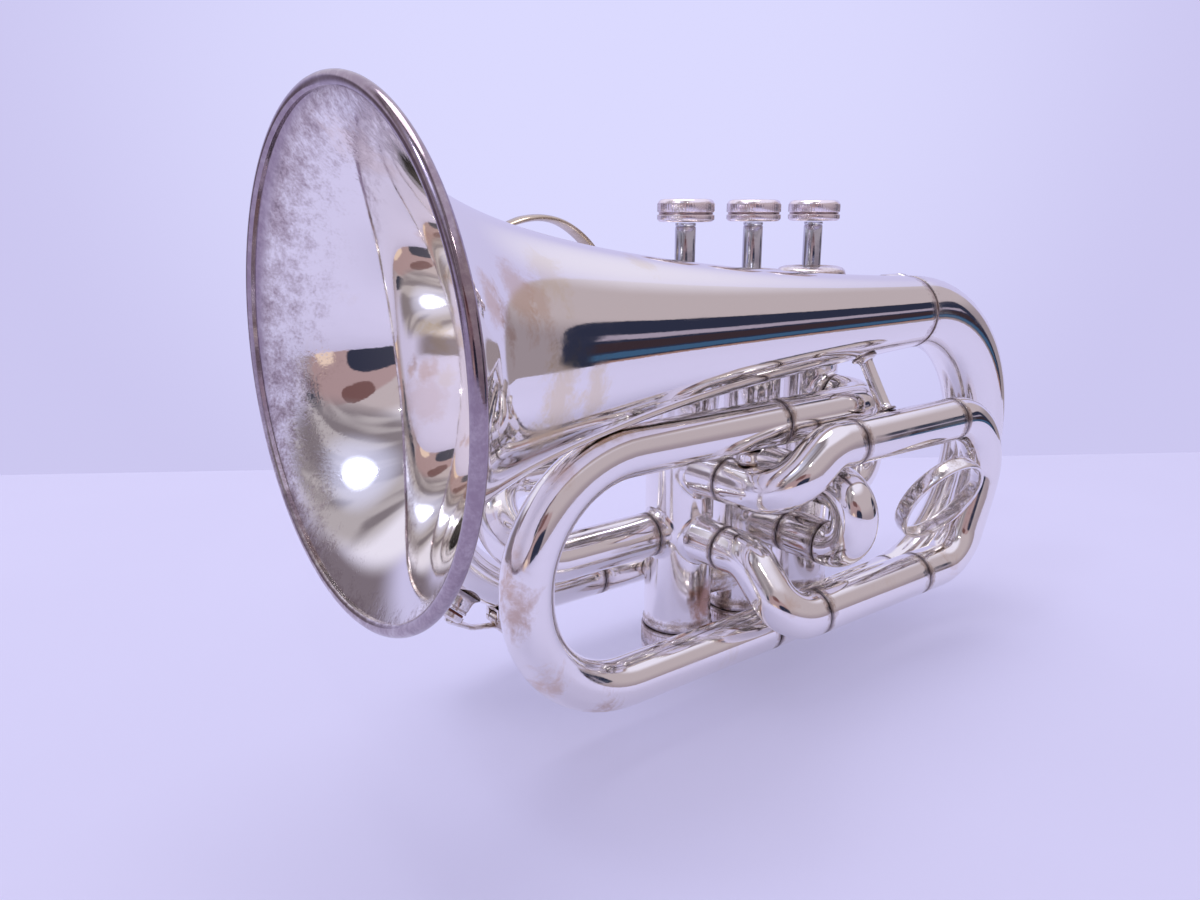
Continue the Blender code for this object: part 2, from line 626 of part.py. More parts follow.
def third_slide():
    """Knuckles, sleeves, slide and finger ring of the third valve."""
    x = VALVE_X[3]
    y0 = -PORT_REACH - GAP
    up_a, up_b = THIRD_UP_X
    low_a, low_b = THIRD_LOW_X
    pipe("third_upper_knuckle",
         rounded([(x, y0, PORT_UP_3), (x, THIRD_Y + 2.0, PORT_UP_3),
                  (x + 14.0, THIRD_Y, THIRD_UP_Z), (up_a, THIRD_Y, THIRD_UP_Z)], [11.0, 9.0]))
    pipe("third_lower_knuckle",
         rounded([(x, y0, PORT_LOW_3), (x, y0 - 9.0, PORT_LOW_3),
                  (x + 1.0, THIRD_Y, THIRD_LOW_Z), (low_a, THIRD_Y, THIRD_LOW_Z)], [9.0, 9.0]))
    pipe("third_upper_sleeve", [Vector((up_a + GAP, THIRD_Y, THIRD_UP_Z)),
                                Vector((up_b, THIRD_Y, THIRD_UP_Z))])
    pipe("third_lower_sleeve", [Vector((low_a + GAP, THIRD_Y, THIRD_LOW_Z)),
                                Vector((low_b, THIRD_Y, THIRD_LOW_Z))])
    high, bow_x, low = (up_b + reach for reach in THIRD_BOW_REACH)
    route = rounded([(up_b + GAP, THIRD_Y, THIRD_UP_Z), (high, THIRD_Y, THIRD_UP_Z),
                     (bow_x, THIRD_Y, (THIRD_UP_Z + THIRD_LOW_Z) / 2.0 - 2.0),
                     (low, THIRD_Y, THIRD_LOW_Z), (low_b + GAP, THIRD_Y, THIRD_LOW_Z)],
                    [17.0, 45.0, 15.0])
    slide("third_slide", route,
          Vector((up_b + GAP - THIRD_LEG, THIRD_Y, THIRD_UP_Z)),
          Vector((low_b + GAP - THIRD_LEG, THIRD_Y, THIRD_LOW_Z)))
    start = RING_CENTRE - RING_AXIS * (RING_W / 2.0)
    inner = RING_R - RING_T
    item = publish("finger_ring",
                   turned_mesh(start, RING_AXIS, ((0.0, inner + 0.3), (0.0, RING_R - 0.3),
                                                  (0.8, RING_R), (RING_W - 0.8, RING_R),
                                                  (RING_W, RING_R - 0.3), (RING_W, inner + 0.3),
                                                  (RING_W - 0.8, inner), (0.8, inner)), 24),
                   RING_CENTRE, material("silver_plate", SILVER, 0.12))
    level = (Vector((1.0, 0.0, 0.0)) - RING_AXIS * RING_AXIS.x).normalized()
    rise = level.cross(RING_AXIS)
    turn = math.radians(RING_FOOT_DEG)
    middle = (inner + RING_R) / 2.0
    root = RING_CENTRE + (level * math.cos(turn) + rise * math.sin(turn)) * middle
    foot = rod_mesh([root, Vector((bow_x + 0.5, THIRD_Y, root.z - 1.0))], [2.2, 3.2],
                    ROD_SIDES)
    combine(item, hidden("finger_ring_foot", foot), "UNION")
    bow = hidden("finger_ring_bow", rod_mesh(route, TUBE_R + GAP, SIDES))
    combine(item, bow, "DIFFERENCE")


def second_slide():
    """Sleeves and slide of the second valve, reaching towards the near side."""
    far = -PORT_REACH - GAP
    near = far - SECOND_SLEEVE
    for tag, height in (("upper", PORT_UP_2), ("lower", PORT_LOW_2)):
        pipe(f"second_{tag}_sleeve", [Vector((0.0, far, height)), Vector((0.0, near, height))])
    radius = (PORT_UP_2 - PORT_LOW_2) / 2.0
    bend = near - GAP - 0.4 - radius
    route = rounded([(0.0, near - GAP, PORT_UP_2), (0.0, bend, PORT_UP_2),
                     (0.0, bend, PORT_LOW_2), (0.0, near - GAP, PORT_LOW_2)],
                    [radius - LEAD_IN] * 2)
    slide("second_slide", route,
          Vector((0.0, near - GAP + SECOND_LEG, PORT_UP_2)),
          Vector((0.0, near - GAP + SECOND_LEG, PORT_LOW_2)))


def first_slide():
    """Sleeves and slide of the first valve, reaching back towards the player."""
    start = VALVE_X[1] + FIRST_REACH + GAP
    end = start + FIRST_SLEEVE
    for tag, height in (("upper", PORT_UP_1), ("lower", PORT_LOW_1)):
        pipe(f"first_{tag}_sleeve", [Vector((start, FIRST_Y, height)),
                                     Vector((end, FIRST_Y, height))])
    radius = (PORT_UP_1 - PORT_LOW_1) / 2.0
    bend = end + GAP + 0.4 + radius
    route = rounded([(end + GAP, FIRST_Y, PORT_UP_1), (bend, FIRST_Y, PORT_UP_1),
                     (bend, FIRST_Y, PORT_LOW_1), (end + GAP, FIRST_Y, PORT_LOW_1)],
                    [radius - LEAD_IN] * 2)
    slide("first_slide", route,
          Vector((end + GAP - FIRST_LEG, FIRST_Y, PORT_UP_1)),
          Vector((end + GAP - FIRST_LEG, FIRST_Y, PORT_LOW_1)))


def far_side():
    """Receiver, leadpipe, tuning sleeves, return tube, rear bow and entry bow."""
    y = FAR_Y
    front, rear = TUNING_SLEEVE_X
    pipe("tuning_upper_sleeve", [Vector((front, y, LEAD_Z)), Vector((rear, y, LEAD_Z))])
    pipe("tuning_lower_sleeve", [Vector((front, y, RETURN_Z)), Vector((rear, y, RETURN_Z))])
    pipe("leadpipe", [Vector((rear + GAP, y, LEAD_Z)), Vector((RECEIVER_X[0] - GAP, y, LEAD_Z))],
         LEAD_R, MOUTH_BORE_R)
    length = RECEIVER_X[1] - RECEIVER_X[0]
    publish("mouthpiece_receiver",
            turned_mesh((RECEIVER_X[0], y, LEAD_Z), (1, 0, 0),
                        ((0.0, MOUTH_BORE_R), (0.0, RECEIVER_R - 0.5), (1.0, RECEIVER_R),
                         (length - 12.0, RECEIVER_R + 0.3), (length - 11.0, RECEIVER_COLLAR_R),
                         (length - 0.8, RECEIVER_COLLAR_R), (length, RECEIVER_COLLAR_R - 0.8),
                         (length, MOUTH_BORE_R + 0.4)), CASING_SIDES),
            (RECEIVER_X[0], y, LEAD_Z), material("silver_plate", SILVER, 0.12))
    pipe("return_tube", [Vector((rear + GAP, y, RETURN_Z)),
                         Vector((REAR_BOW_X - GAP, y, RETURN_Z))])
    radius = (FORWARD_Z - RETURN_Z) / 2.0
    apex = REAR_BOW_X + radius
    pipe("rear_bow", rounded([(REAR_BOW_X, y, RETURN_Z), (apex, y, RETURN_Z),
                              (apex, y, FORWARD_Z), (ENTRY_RING_X, y, FORWARD_Z)],
                             [radius - LEAD_IN] * 2))
    entry = Vector((VALVE_X[3] - SHORT_PORT_REACH - GAP, 0.0, ENTRY_Z))
    radius = math.hypot(y, FORWARD_Z - ENTRY_Z) / 2.0
    apex = ENTRY_BOW_X - radius
    pipe("entry_bow", rounded([entry, (apex, 0.0, ENTRY_Z), (apex, y, FORWARD_Z),
                               (ENTRY_RING_X - GAP, y, FORWARD_Z)],
                              [radius - LEAD_IN] * 2))


def on_bow(radius, deg, y=FAR_Y):
    """Point in the tuning bow's plane at a radius and angle about its middle."""
    turn = math.radians(deg)
    middle = (LEAD_Z + RETURN_Z) / 2.0
    return Vector((TUNING_X + radius * math.cos(turn), y, middle + radius * math.sin(turn)))


def tuning_slide():
    """The tuning slide with the water key's nipple, saddle, pin, lever and cork."""
    radius = (LEAD_Z - RETURN_Z) / 2.0
    front = TUNING_SLEEVE_X[0] - GAP
    apex = TUNING_X - radius
    y = FAR_Y
    route = rounded([(front, y, LEAD_Z), (apex, y, LEAD_Z), (apex, y, RETURN_Z),
                     (front, y, RETURN_Z)], [radius - LEAD_IN] * 2, WIDE_BEND_STEP_DEG)
    slide("tuning_slide", route, Vector((front + TUNING_LEG, y, LEAD_Z)),
          Vector((front + TUNING_LEG, y, RETURN_Z)))
    silver = material("silver_plate", SILVER, 0.12)
    away = (on_bow(1.0, NIPPLE_DEG) - on_bow(0.0, NIPPLE_DEG)).normalized()
    foot = on_bow(radius + TUBE_R + GAP, NIPPLE_DEG)
    publish("water_key_nipple",
            turned_mesh(foot, away, ((0.0, NIPPLE_BORE_R), (0.0, NIPPLE_R + 0.5),
                                     (1.0, NIPPLE_R), (NIPPLE_H, NIPPLE_R),
                                     (NIPPLE_H, NIPPLE_BORE_R)), ROD_SIDES), foot, silver)
    pad = foot + away * (NIPPLE_H + 0.3)
    publish("water_key_cork",
            turned_mesh(pad, away, ((0.0, 0.0), (0.0, CORK_R), (CORK_H, CORK_R),
                                    (CORK_H, 0.0)), ROD_SIDES),
            on_bow(radius + TUBE_R + PIVOT_RISE, PIVOT_DEG), material("cork", CORK_BROWN, 0.8, 0.0))
    pivot = on_bow(radius + TUBE_R + PIVOT_RISE, PIVOT_DEG)
    out = (on_bow(1.0, PIVOT_DEG) - on_bow(0.0, PIVOT_DEG)).normalized()
    along = Vector((0.0, 1.0, 0.0)).cross(out)
    turn = Matrix((along, Vector((0.0, 1.0, 0.0)), out)).transposed().to_4x4()
    half = KEY_W / 2.0
    saddle = block_mesh((-2.4, -half - GAP - KEY_EAR, GAP - PIVOT_RISE),
                        (2.4, half + GAP + KEY_EAR, 0.2 - KEY_BARREL_R - GAP))
    bmesh.ops.transform(saddle, matrix=turn, verts=saddle.verts)
    bmesh.ops.translate(saddle, vec=pivot, verts=saddle.verts)
    item = publish("water_key_saddle", saddle, pivot, silver)
    ears = bmesh.new()
    for sign in (-1.0, 1.0):
        low, high = sorted((sign * (half + GAP), sign * (half + GAP + KEY_EAR)))
        ear = block_mesh((-1.6, low, -2.6), (1.6, high, 1.5), bm=bmesh.new())
        bmesh.ops.transform(ear, matrix=turn, verts=ear.verts)
        bmesh.ops.translate(ear, vec=pivot, verts=ear.verts)
        mesh = bpy.data.meshes.new("ear")
        ear.to_mesh(mesh)
        ear.free()
        ears.from_mesh(mesh)
    combine(item, hidden("saddle_ears", ears), "UNION")
    across = Vector((0.0, half + GAP + KEY_EAR + 1.0, 0.0))
    hole = rod_mesh([pivot - across, pivot + across], KEY_PIN_R + 0.2, SIDES)
    combine(item, hidden("saddle_hole", hole), "DIFFERENCE")
    barrel = Vector((0.0, half, 0.0))
    item = publish("water_key_lever", rod_mesh([pivot - barrel, pivot + barrel], KEY_BARREL_R, SIDES),
                   pivot, silver)
    tip = pad + away * (CORK_H + GAP + LEVER_LIFT)
    bend = on_bow(radius + TUBE_R + LEVER_BEND_RISE, (NIPPLE_DEG + PIVOT_DEG) / 2.0)
    tab = on_bow(radius + TUBE_R + LEVER_TAB_RISE, PIVOT_DEG + 9.0)
    arm = rod_mesh([tip - (bend - tip).normalized() * (CORK_R - GAP), tip, bend,
                    pivot + out * (KEY_BARREL_R + 0.1), tab,
                    tab + Vector((LEVER_TAB, 0.0, -0.15 * LEVER_TAB))],
                   [LEVER_R * swell for swell in LEVER_SWELL], ROD_SIDES, LEVER_FLAT)
    combine(item, hidden("lever_arm", arm), "UNION")
    shaft = Vector((0.0, half + GAP + KEY_EAR, 0.0))
    pin = rod_mesh([pivot - shaft, pivot + shaft], KEY_PIN_R, SIDES)
    combine(item, hidden("lever_pin", pin), "UNION")


def brace(name, start, end, radius, flange, sides=ROD_SIDES):
    """A short turned brace with a flange at each end."""
    start, end = Vector(start), Vector(end)
    length = (end - start).length
    publish(name, turned_mesh(start, end - start,
                              ((0.0, 0.0), (0.0, flange[0]), (min(0.8, length / 4), flange[0]),
                               (min(1.4, length / 3), radius),
                               (length - min(1.4, length / 3), radius),
                               (length - min(0.8, length / 4), flange[1]),
                               (length, flange[1]), (length, 0.0)), sides),
            start, material("silver_plate", SILVER, 0.12))


def bell_point(x, towards):
    """Point just outside the bell stem at x, in the direction given."""
    along = x - BELL_MOUTH.x
    centre = Vector((x, BELL_MOUTH.y, BELL_MOUTH.z)) + bell_drift(along)
    return centre + Vector(towards).normalized() * (flare(along) + GAP)


def braces():
    """Braces between the bell, the casings, the slides and the far-side tubes."""
    x = 16.0
    sleeve = Vector((x, THIRD_Y, THIRD_UP_Z))
    top = bell_point(x, (0.0, -0.45, -0.89))
    way = (top - sleeve).normalized()
    brace("bell_slide_brace", top, sleeve + way * (TUBE_R + GAP), 1.9, (3.6, 3.0))
    near = VALVE_X[1]
    post = bell_point(near, (0.0, 1.0, 0.0))
    brace("bell_post", (near, -CASING_R - GAP, post.z), (near, post.y, post.z), POST_R,
          (POST_FLANGE_R, POST_FLANGE_R))
    knuckle_top = PORT_UP_3 + TUBE_R + GAP
    brace("port_brace", (VALVE_X[3], FRONT_Y + 1.0, TOP_LEG_Z - TUBE_R - GAP),
          (VALVE_X[3], FRONT_Y + 1.0, knuckle_top), 2.4, (3.4, 2.8))
    inner = CASING_R + GAP
    for name, number, height, radius in (("leadpipe_post_front", 3, LEAD_Z, TUBE_R),
                                         ("leadpipe_post_rear", 1, LEAD_Z, LEAD_R),
                                         ("return_tube_post_front", 3, RETURN_Z, TUBE_R),
                                         ("return_tube_post_rear", 1, RETURN_Z, TUBE_R)):
        spot = VALVE_X[number]
        brace(name, (spot, inner, height), (spot, FAR_Y - radius - GAP, height), POST_R,
              (POST_FLANGE_R, POST_FLANGE_R))


def pinky_hook():
    """Finger hook standing on the tuning slide's upper sleeve."""
    low = LEAD_Z + TUBE_R + GAP
    route = [(HOOK_X - HOOK_REACH * ahead, FAR_Y, low + HOOK_RISE * up)
             for ahead, up in HOOK_PLACES]
    half = [HOOK_T * swell for swell in HOOK_SWELL]
    publish("pinky_hook", rod_mesh(route, half, SIDES, HOOK_FLAT), route[0],
            material("silver_plate", SILVER, 0.12))


def main():
    clear_objects()
    for number in (1, 2, 3):
        casing(number)
        caps(number)
        piston_set(number)
    link("valve_link_32", VALVE_X[3], VALVE_X[2], LINK_32_Z)
    link("valve_link_21", VALVE_X[2], VALVE_X[1], LINK_21_Z)
    bell()
    bell_branch()
    third_slide()
    second_slide()
    first_slide()
    far_side()
    tuning_slide()
    braces()
    pinky_hook()


main()
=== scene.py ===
"""Pocket trumpet: the looks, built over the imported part.

Each sub-assembly is a class that builds its own meshes and dresses them. Sizes are written in
millimetres and turned into metres when a mesh is made. X runs along the bell towards the player,
Y to the leadpipe side and Z up along the pistons.
"""
import logging
import math
from dataclasses import dataclass
from enum import Enum
from typing import Callable, Sequence

import bmesh
import bpy
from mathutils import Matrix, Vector
from mathutils.bvhtree import BVHTree

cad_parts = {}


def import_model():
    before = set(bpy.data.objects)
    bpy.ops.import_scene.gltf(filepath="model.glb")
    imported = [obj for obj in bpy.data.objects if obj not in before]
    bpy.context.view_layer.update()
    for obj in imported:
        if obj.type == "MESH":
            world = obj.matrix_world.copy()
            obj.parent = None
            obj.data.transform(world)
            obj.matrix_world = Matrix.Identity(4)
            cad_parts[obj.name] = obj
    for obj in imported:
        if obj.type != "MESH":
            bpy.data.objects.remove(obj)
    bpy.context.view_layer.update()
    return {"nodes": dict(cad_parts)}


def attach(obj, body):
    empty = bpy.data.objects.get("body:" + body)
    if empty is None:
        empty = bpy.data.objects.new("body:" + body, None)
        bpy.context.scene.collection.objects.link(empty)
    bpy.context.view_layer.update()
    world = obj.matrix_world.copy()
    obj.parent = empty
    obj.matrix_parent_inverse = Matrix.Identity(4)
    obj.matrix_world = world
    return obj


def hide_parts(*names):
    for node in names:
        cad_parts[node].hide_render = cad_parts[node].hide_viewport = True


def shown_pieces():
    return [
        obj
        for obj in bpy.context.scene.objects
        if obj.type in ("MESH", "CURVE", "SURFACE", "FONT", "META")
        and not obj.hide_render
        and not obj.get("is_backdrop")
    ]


MM = 0.001
UP = Vector((0.0, 0.0, 1.0))
LEADWARD = Vector((0.0, 1.0, 0.0))
REARWARD = Vector((1.0, 0.0, 0.0))
LOG = logging.getLogger("pocket_trumpet")
Colour = tuple[float, float, float]
Point = tuple[float, float, float]


@dataclass(frozen=True)
class Tubing:
    """Sizes that the tubes share."""

    outer: float = 6.5
    bore: float = 5.9
    leg: float = 5.75
    leg_bore: float = 5.25
    gap: float = 0.3
    lead_in: float = 0.5
    lip: float = 0.26
    sides: int = 48
    bend_step: float = 5.0
    straight_step: float = 3.0
    closest: float = 0.05
    joint_dirt: float = 0.8
    dirt_reach: float = 0.45


@dataclass(frozen=True)
class ValveLayout:
    """Where the three valves stand, and their ports' heights."""

    pitch: float = 27.0
    casing_r: float = 10.2
    bore_r: float = 8.75
    low_z: float = 2.7
    top_z: float = 112.0
    port_reach: float = 20.0
    short_reach: float = 12.5
    first_reach: float = 14.0
    first_y: float = 4.0
    port_up: tuple[float, float, float] = (59.0, 57.0, 59.5)
    port_low: tuple[float, float, float] = (38.0, 39.0, 39.3)
    entry_z: float = 40.5
    top_leg_z: float = 76.4

    def x(self, number: int) -> float:
        """Return the place of a valve along X."""
        return self.pitch * (2 - number)


TUBING = Tubing()
VALVES = ValveLayout()


class Slot(Enum):
    """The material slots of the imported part."""

    BELL = "bell_silver"
    TUBE = "tube_silver"
    CAP = "cap_silver"
    BUTTON = "button_silver"
    VALVE = "valve_nickel"
    STEM = "stem_steel"
    SPRING = "spring_steel"
    CORK = "cork"


class End(Enum):
    """Which end of a tube is being shaped."""

    START = 1
    FINISH = -1


def rounded(corners: Sequence[Point | Vector], radii: Sequence[float],
            step: float = TUBING.bend_step) -> list[Vector]:
    """Round the inner corners of a path.

    Args:
        corners: The path's corners, from end to end.
        radii: One radius for each inner corner.
        step: The most degrees that one segment of a bend turns.

    Returns:
        The points along the path.
    """
    corners = [Vector(c) for c in corners]
    points = [corners[0]]
    for index, radius in enumerate(radii, start=1):
        corner = corners[index]
        back = (corners[index - 1] - corner).normalized()
        ahead = (corners[index + 1] - corner).normalized()
        half = back.angle(ahead) / 2.0
        reach = radius / math.tan(half)
        centre = corner + (back + ahead).normalized() * (radius / math.sin(half))
        first, last = corner + back * reach - centre, corner + ahead * reach - centre
        turn = first.angle(last)
        steps = max(3, round(math.degrees(turn) / step))
        for k in range(steps + 1):
            share = k / steps
            spoke = first * math.sin((1.0 - share) * turn) + last * math.sin(share * turn)
            points.append(centre + spoke / math.sin(turn))
    points.append(corners[-1])
    kept = [points[0]]
    for point in points[1:]:
        if (point - kept[-1]).length > TUBING.closest:
            kept.append(point)
    return kept


def filled_in(points: Sequence[Vector], step: float = TUBING.straight_step) -> list[Vector]:
    """Return the same path with its long straight runs cut into short ones."""
    result = [points[0]]
    for before, after in zip(points, points[1:]):
        count = max(1, round((after - before).length / step))
        result += [before.lerp(after, k / count) for k in range(1, count + 1)]
    return result


def square_to(direction: Vector) -> Vector:
    """Return a direction at right angles to another."""
    return direction.cross(UP if abs(direction.z) < 0.9 else LEADWARD).normalized()


def joint_dirt(place: float, length: float) -> float:
    """Return the tarnish weight at a place on a tube, which fades away from its joints."""
    return TUBING.joint_dirt * math.exp(-min(place, length - place) / TUBING.dirt_reach)


@dataclass
class Way:
    """One place along a path: its middle, two directions across it and the way ahead."""

    point: Vector
    side: Vector
    up: Vector
    ahead: Vector
    along: float


def ways_along(points: Sequence[Vector]) -> list[Way]:
    """Carry a frame along a path without twist.

    Args:
        points: The path's points.

    Returns:
        One place for each point, with its distance from the start.
    """
    tangents, lengths = [], [0.0]
    for k, point in enumerate(points):
        ahead = (points[k + 1] - point).normalized() if k + 1 < len(points) else Vector()
        behind = (point - points[k - 1]).normalized() if k else Vector()
        tangents.append((ahead + behind).normalized())
        if k:
            lengths.append(lengths[-1] + (point - points[k - 1]).length)
    side = square_to(tangents[0])
    result = []
    for k, point in enumerate(points):
        if k:
            side = tangents[k - 1].rotation_difference(tangents[k]) @ side
        side = (side - tangents[k] * side.dot(tangents[k])).normalized()
        result.append(Way(point, side, tangents[k].cross(side), tangents[k], lengths[k]))
    return result


class Form:
    """A mesh in the making, in millimetres, with a tarnish weight on every vertex."""

    def __init__(self, sides: int = TUBING.sides) -> None:
        """Start an empty form whose rings have this many sides."""
        self.bm = bmesh.new()
        self.weights = self.bm.verts.layers.float.new("edge")
        self.sides = sides

    def point(self, place: Vector, weight: float = 0.0) -> bmesh.types.BMVert:
        """Add one vertex."""
        vert = self.bm.verts.new(place)
        vert[self.weights] = weight
        return vert

    def around(self, way: Way, radius: float, weight: float = 0.0,
               flat: float = 1.0) -> list[bmesh.types.BMVert]:
        """Add one ring about a place on a path."""
        return self.ring(way.point, way.side, way.up, radius, weight, flat)

    def ring(self, middle: Vector, side: Vector, up: Vector, radius: float, weight: float = 0.0,
             flat: float = 1.0, teeth: float = 0.0) -> list[bmesh.types.BMVert]:
        """Add one ring of vertices.

        Args:
            middle: The ring's middle.
            side: First direction across.
            up: Second direction across.
            radius: The ring's radius.
            weight: Tarnish weight of its vertices.
            flat: How far it is squashed along the second direction.
            teeth: Height of the knurl's teeth, one for every third vertex.

        Returns:
            The ring's vertices.
        """
        made = []
        for k in range(self.sides):
            turn = 2.0 * math.pi * k / self.sides
            r = radius + teeth * (1.0 if k % 3 == 0 else -0.6)
            made.append(self.point(middle + side * (r * math.cos(turn))
                                   + up * (r * flat * math.sin(turn)), weight))
        return made

    def skin(self, rings: Sequence[list[bmesh.types.BMVert]], closed: bool = False) -> None:
        """Join rings one after the other, and the last to the first where closed is set."""
        pairs = list(zip(rings, rings[1:]))
        if closed:
            pairs.append((rings[-1], rings[0]))
        for first, second in pairs:
            self.join(first, second)

    def capped(self, rings: Sequence[list[bmesh.types.BMVert]]) -> None:
        """Join rings and shut both ends with a flat face."""
        self.skin(rings)
        for ring in (rings[0], rings[-1]):
            self.bm.faces.new(ring)

    def join(self, first: list[bmesh.types.BMVert], second: list[bmesh.types.BMVert]) -> None:
        """Join two rings, or a ring and a single point."""
        if len(first) == len(second) == 1:
            return
        if min(len(first), len(second)) == 1:
            hub, rim = (first[0], second) if len(first) == 1 else (second[0], first)
            for k, vert in enumerate(rim):
                self.bm.faces.new((hub, vert, rim[(k + 1) % len(rim)]))
            return
        count = len(first)
        for k in range(count):
            after = (k + 1) % count
            self.bm.faces.new((first[k], first[after], second[after], second[k]))

    def tube(self, points: Sequence[Vector], outer: float | Callable[[float], float],
             bore: float | Callable[[float], float], lip: float = TUBING.lip) -> "Form":
        """Sweep a hollow tube with rounded lips.

        Args:
            points: The middle line.
            outer: Outside radius, or a function of the share of the length.
            bore: Inside radius, or a function of the share of the length.
            lip: Radius of the lips.

        Returns:
            This form.
        """
        ways = ways_along(filled_in(points))
        length = ways[-1].along

        def size(radius: float | Callable[[float], float], way: Way) -> float:
            """Return a radius at a place, given or worked out."""
            return radius(way.along / length) if callable(radius) else radius

        rings = self.lip(ways[0], size(outer, ways[0]), lip, End.START)
        for way in ways[1:-1]:
            if lip < way.along < length - lip:
                rings.append(self.around(way, size(outer, way), joint_dirt(way.along, length)))
        rings += self.lip(ways[-1], size(outer, ways[-1]), lip, End.FINISH)
        for way in reversed(ways):
            rings.append(self.around(way, size(bore, way), joint_dirt(way.along, length)))
        self.skin(rings, closed=True)
        return self

    def lip(self, way: Way, radius: float, size: float, end: End) -> list[list]:
        """Add the rings of a rounded lip, in order along the tube.

        Args:
            way: The tube's end.
            radius: The tube's outside radius.
            size: The lip's own radius.
            end: Which end it is.

        Returns:
            The rings.
        """
        rings = []
        for deg in (90.0, 60.0, 30.0, 0.0):
            turn = math.radians(deg)
            shift = way.ahead * (size * (1.0 - math.sin(turn)) * end.value)
            rings.append(self.ring(way.point + shift, way.side, way.up,
                                   radius - size * (1.0 - math.cos(turn)), 1.0))
        return rings if end is End.START else rings[::-1]

    def slide(self, leg_start: Vector, route: Sequence[Vector], leg_end: Vector) -> "Form":
        """Sweep a slide: a bow with a slimmer leg at each end.

        Args:
            leg_start: Far end of the first leg.
            route: The bow's middle line.
            leg_end: Far end of the second leg.

        Returns:
            This form.
        """
        bow = filled_in(route)
        ways = ways_along([leg_start, *bow, leg_end])
        length = ways[-2].along - ways[1].along
        lip = TUBING.lip
        rings = self.lip(ways[0], TUBING.leg, lip / 2.0, End.START)
        rings.append(self.around(ways[1], TUBING.leg, 1.0))
        rings += self.lip(ways[1], TUBING.outer, lip, End.START)
        for way in ways[2:-2]:
            place = way.along - ways[1].along
            if lip < place < length - lip:
                rings.append(self.around(way, TUBING.outer, joint_dirt(place, length)))
        rings += self.lip(ways[-2], TUBING.outer, lip, End.FINISH)
        rings.append(self.around(ways[-2], TUBING.leg, 1.0))
        rings += self.lip(ways[-1], TUBING.leg, lip / 2.0, End.FINISH)
        rings += [self.around(way, TUBING.leg_bore) for way in reversed(ways)]
        self.skin(rings, closed=True)
        return self

    def rod(self, points: Sequence[Vector], radius: Sequence[float] | float,
            flat: float = 1.0, weight: float = 0.0) -> "Form":
        """Sweep a solid rod or strip whose ends are domed.

        Args:
            points: The middle line.
            radius: One radius, or one for each point.
            flat: How far it is squashed into a strip.
            weight: Tarnish weight of its vertices.

        Returns:
            This form.
        """
        ways = ways_along(points)
        sizes = [radius] * len(ways) if isinstance(radius, float) else list(radius)
        rings = [[self.point(ways[0].point - ways[0].ahead * (sizes[0] * 0.35), weight)]]
        rings.append(self.ring(ways[0].point - ways[0].ahead * (sizes[0] * 0.25), ways[0].side,
                               ways[0].up, sizes[0] * 0.7, weight, flat))
        rings += [self.around(way, r, weight, flat) for way, r in zip(ways, sizes)]
        rings.append(self.ring(ways[-1].point + ways[-1].ahead * (sizes[-1] * 0.25),
                               ways[-1].side, ways[-1].up, sizes[-1] * 0.7, weight, flat))
        rings.append([self.point(ways[-1].point + ways[-1].ahead * (sizes[-1] * 0.35), weight)])
        self.skin(rings)
        return self

    def turned(self, start: Point | Vector, axis: Point | Vector,
               outline: Sequence[tuple[float, ...]]) -> "Form":
        """Turn an outline about an axis and join its last place to its first.

        Args:
            start: Where the axis begins.
            axis: The axis's direction.
            outline: Distance along, radius, and then a tarnish weight and the height of
                the knurl's teeth where they aren't nought.

        Returns:
            This form.
        """
        axis, start = Vector(axis).normalized(), Vector(start)
        side = square_to(axis)
        up = axis.cross(side)
        rings = []
        for along, radius, *more in outline:
            weight, teeth = (list(more) + [0.0, 0.0])[:2]
            middle = start + axis * along
            rings.append(self.ring(middle, side, up, radius, weight, 1.0, teeth) if radius > 1e-6
                         else [self.point(middle, weight)])
        self.skin(rings, closed=True)
        return self

    def publish(self, name: str, finish: "Finish", body: str, nodes: Sequence[str] = (),
                sharp: float = 40.0) -> bpy.types.Object:
        """Make the object, dress it and let it ride.

        Args:
            name: The piece's name.
            finish: What it is made of.
            body: The body that it rides on.
            nodes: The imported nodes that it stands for.
            sharp: The angle above which an edge stays sharp, in degrees.

        Returns:
            The object.
        """
        bmesh.ops.recalc_face_normals(self.bm, faces=self.bm.faces)
        bmesh.ops.scale(self.bm, verts=self.bm.verts, vec=(MM, MM, MM))
        mesh = bpy.data.meshes.new(name)
        self.bm.to_mesh(mesh)
        self.bm.free()
        mesh.shade_smooth()
        mesh.set_sharp_from_angle(angle=math.radians(sharp))
        item = bpy.data.objects.new(name, mesh)
        bpy.context.scene.collection.objects.link(item)
        mesh.materials.append(finish.material())
        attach(item, body)
        if nodes:
            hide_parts(*nodes)
        LOG.info("%s: %d faces on %s", name, len(mesh.polygons), body)
        return item


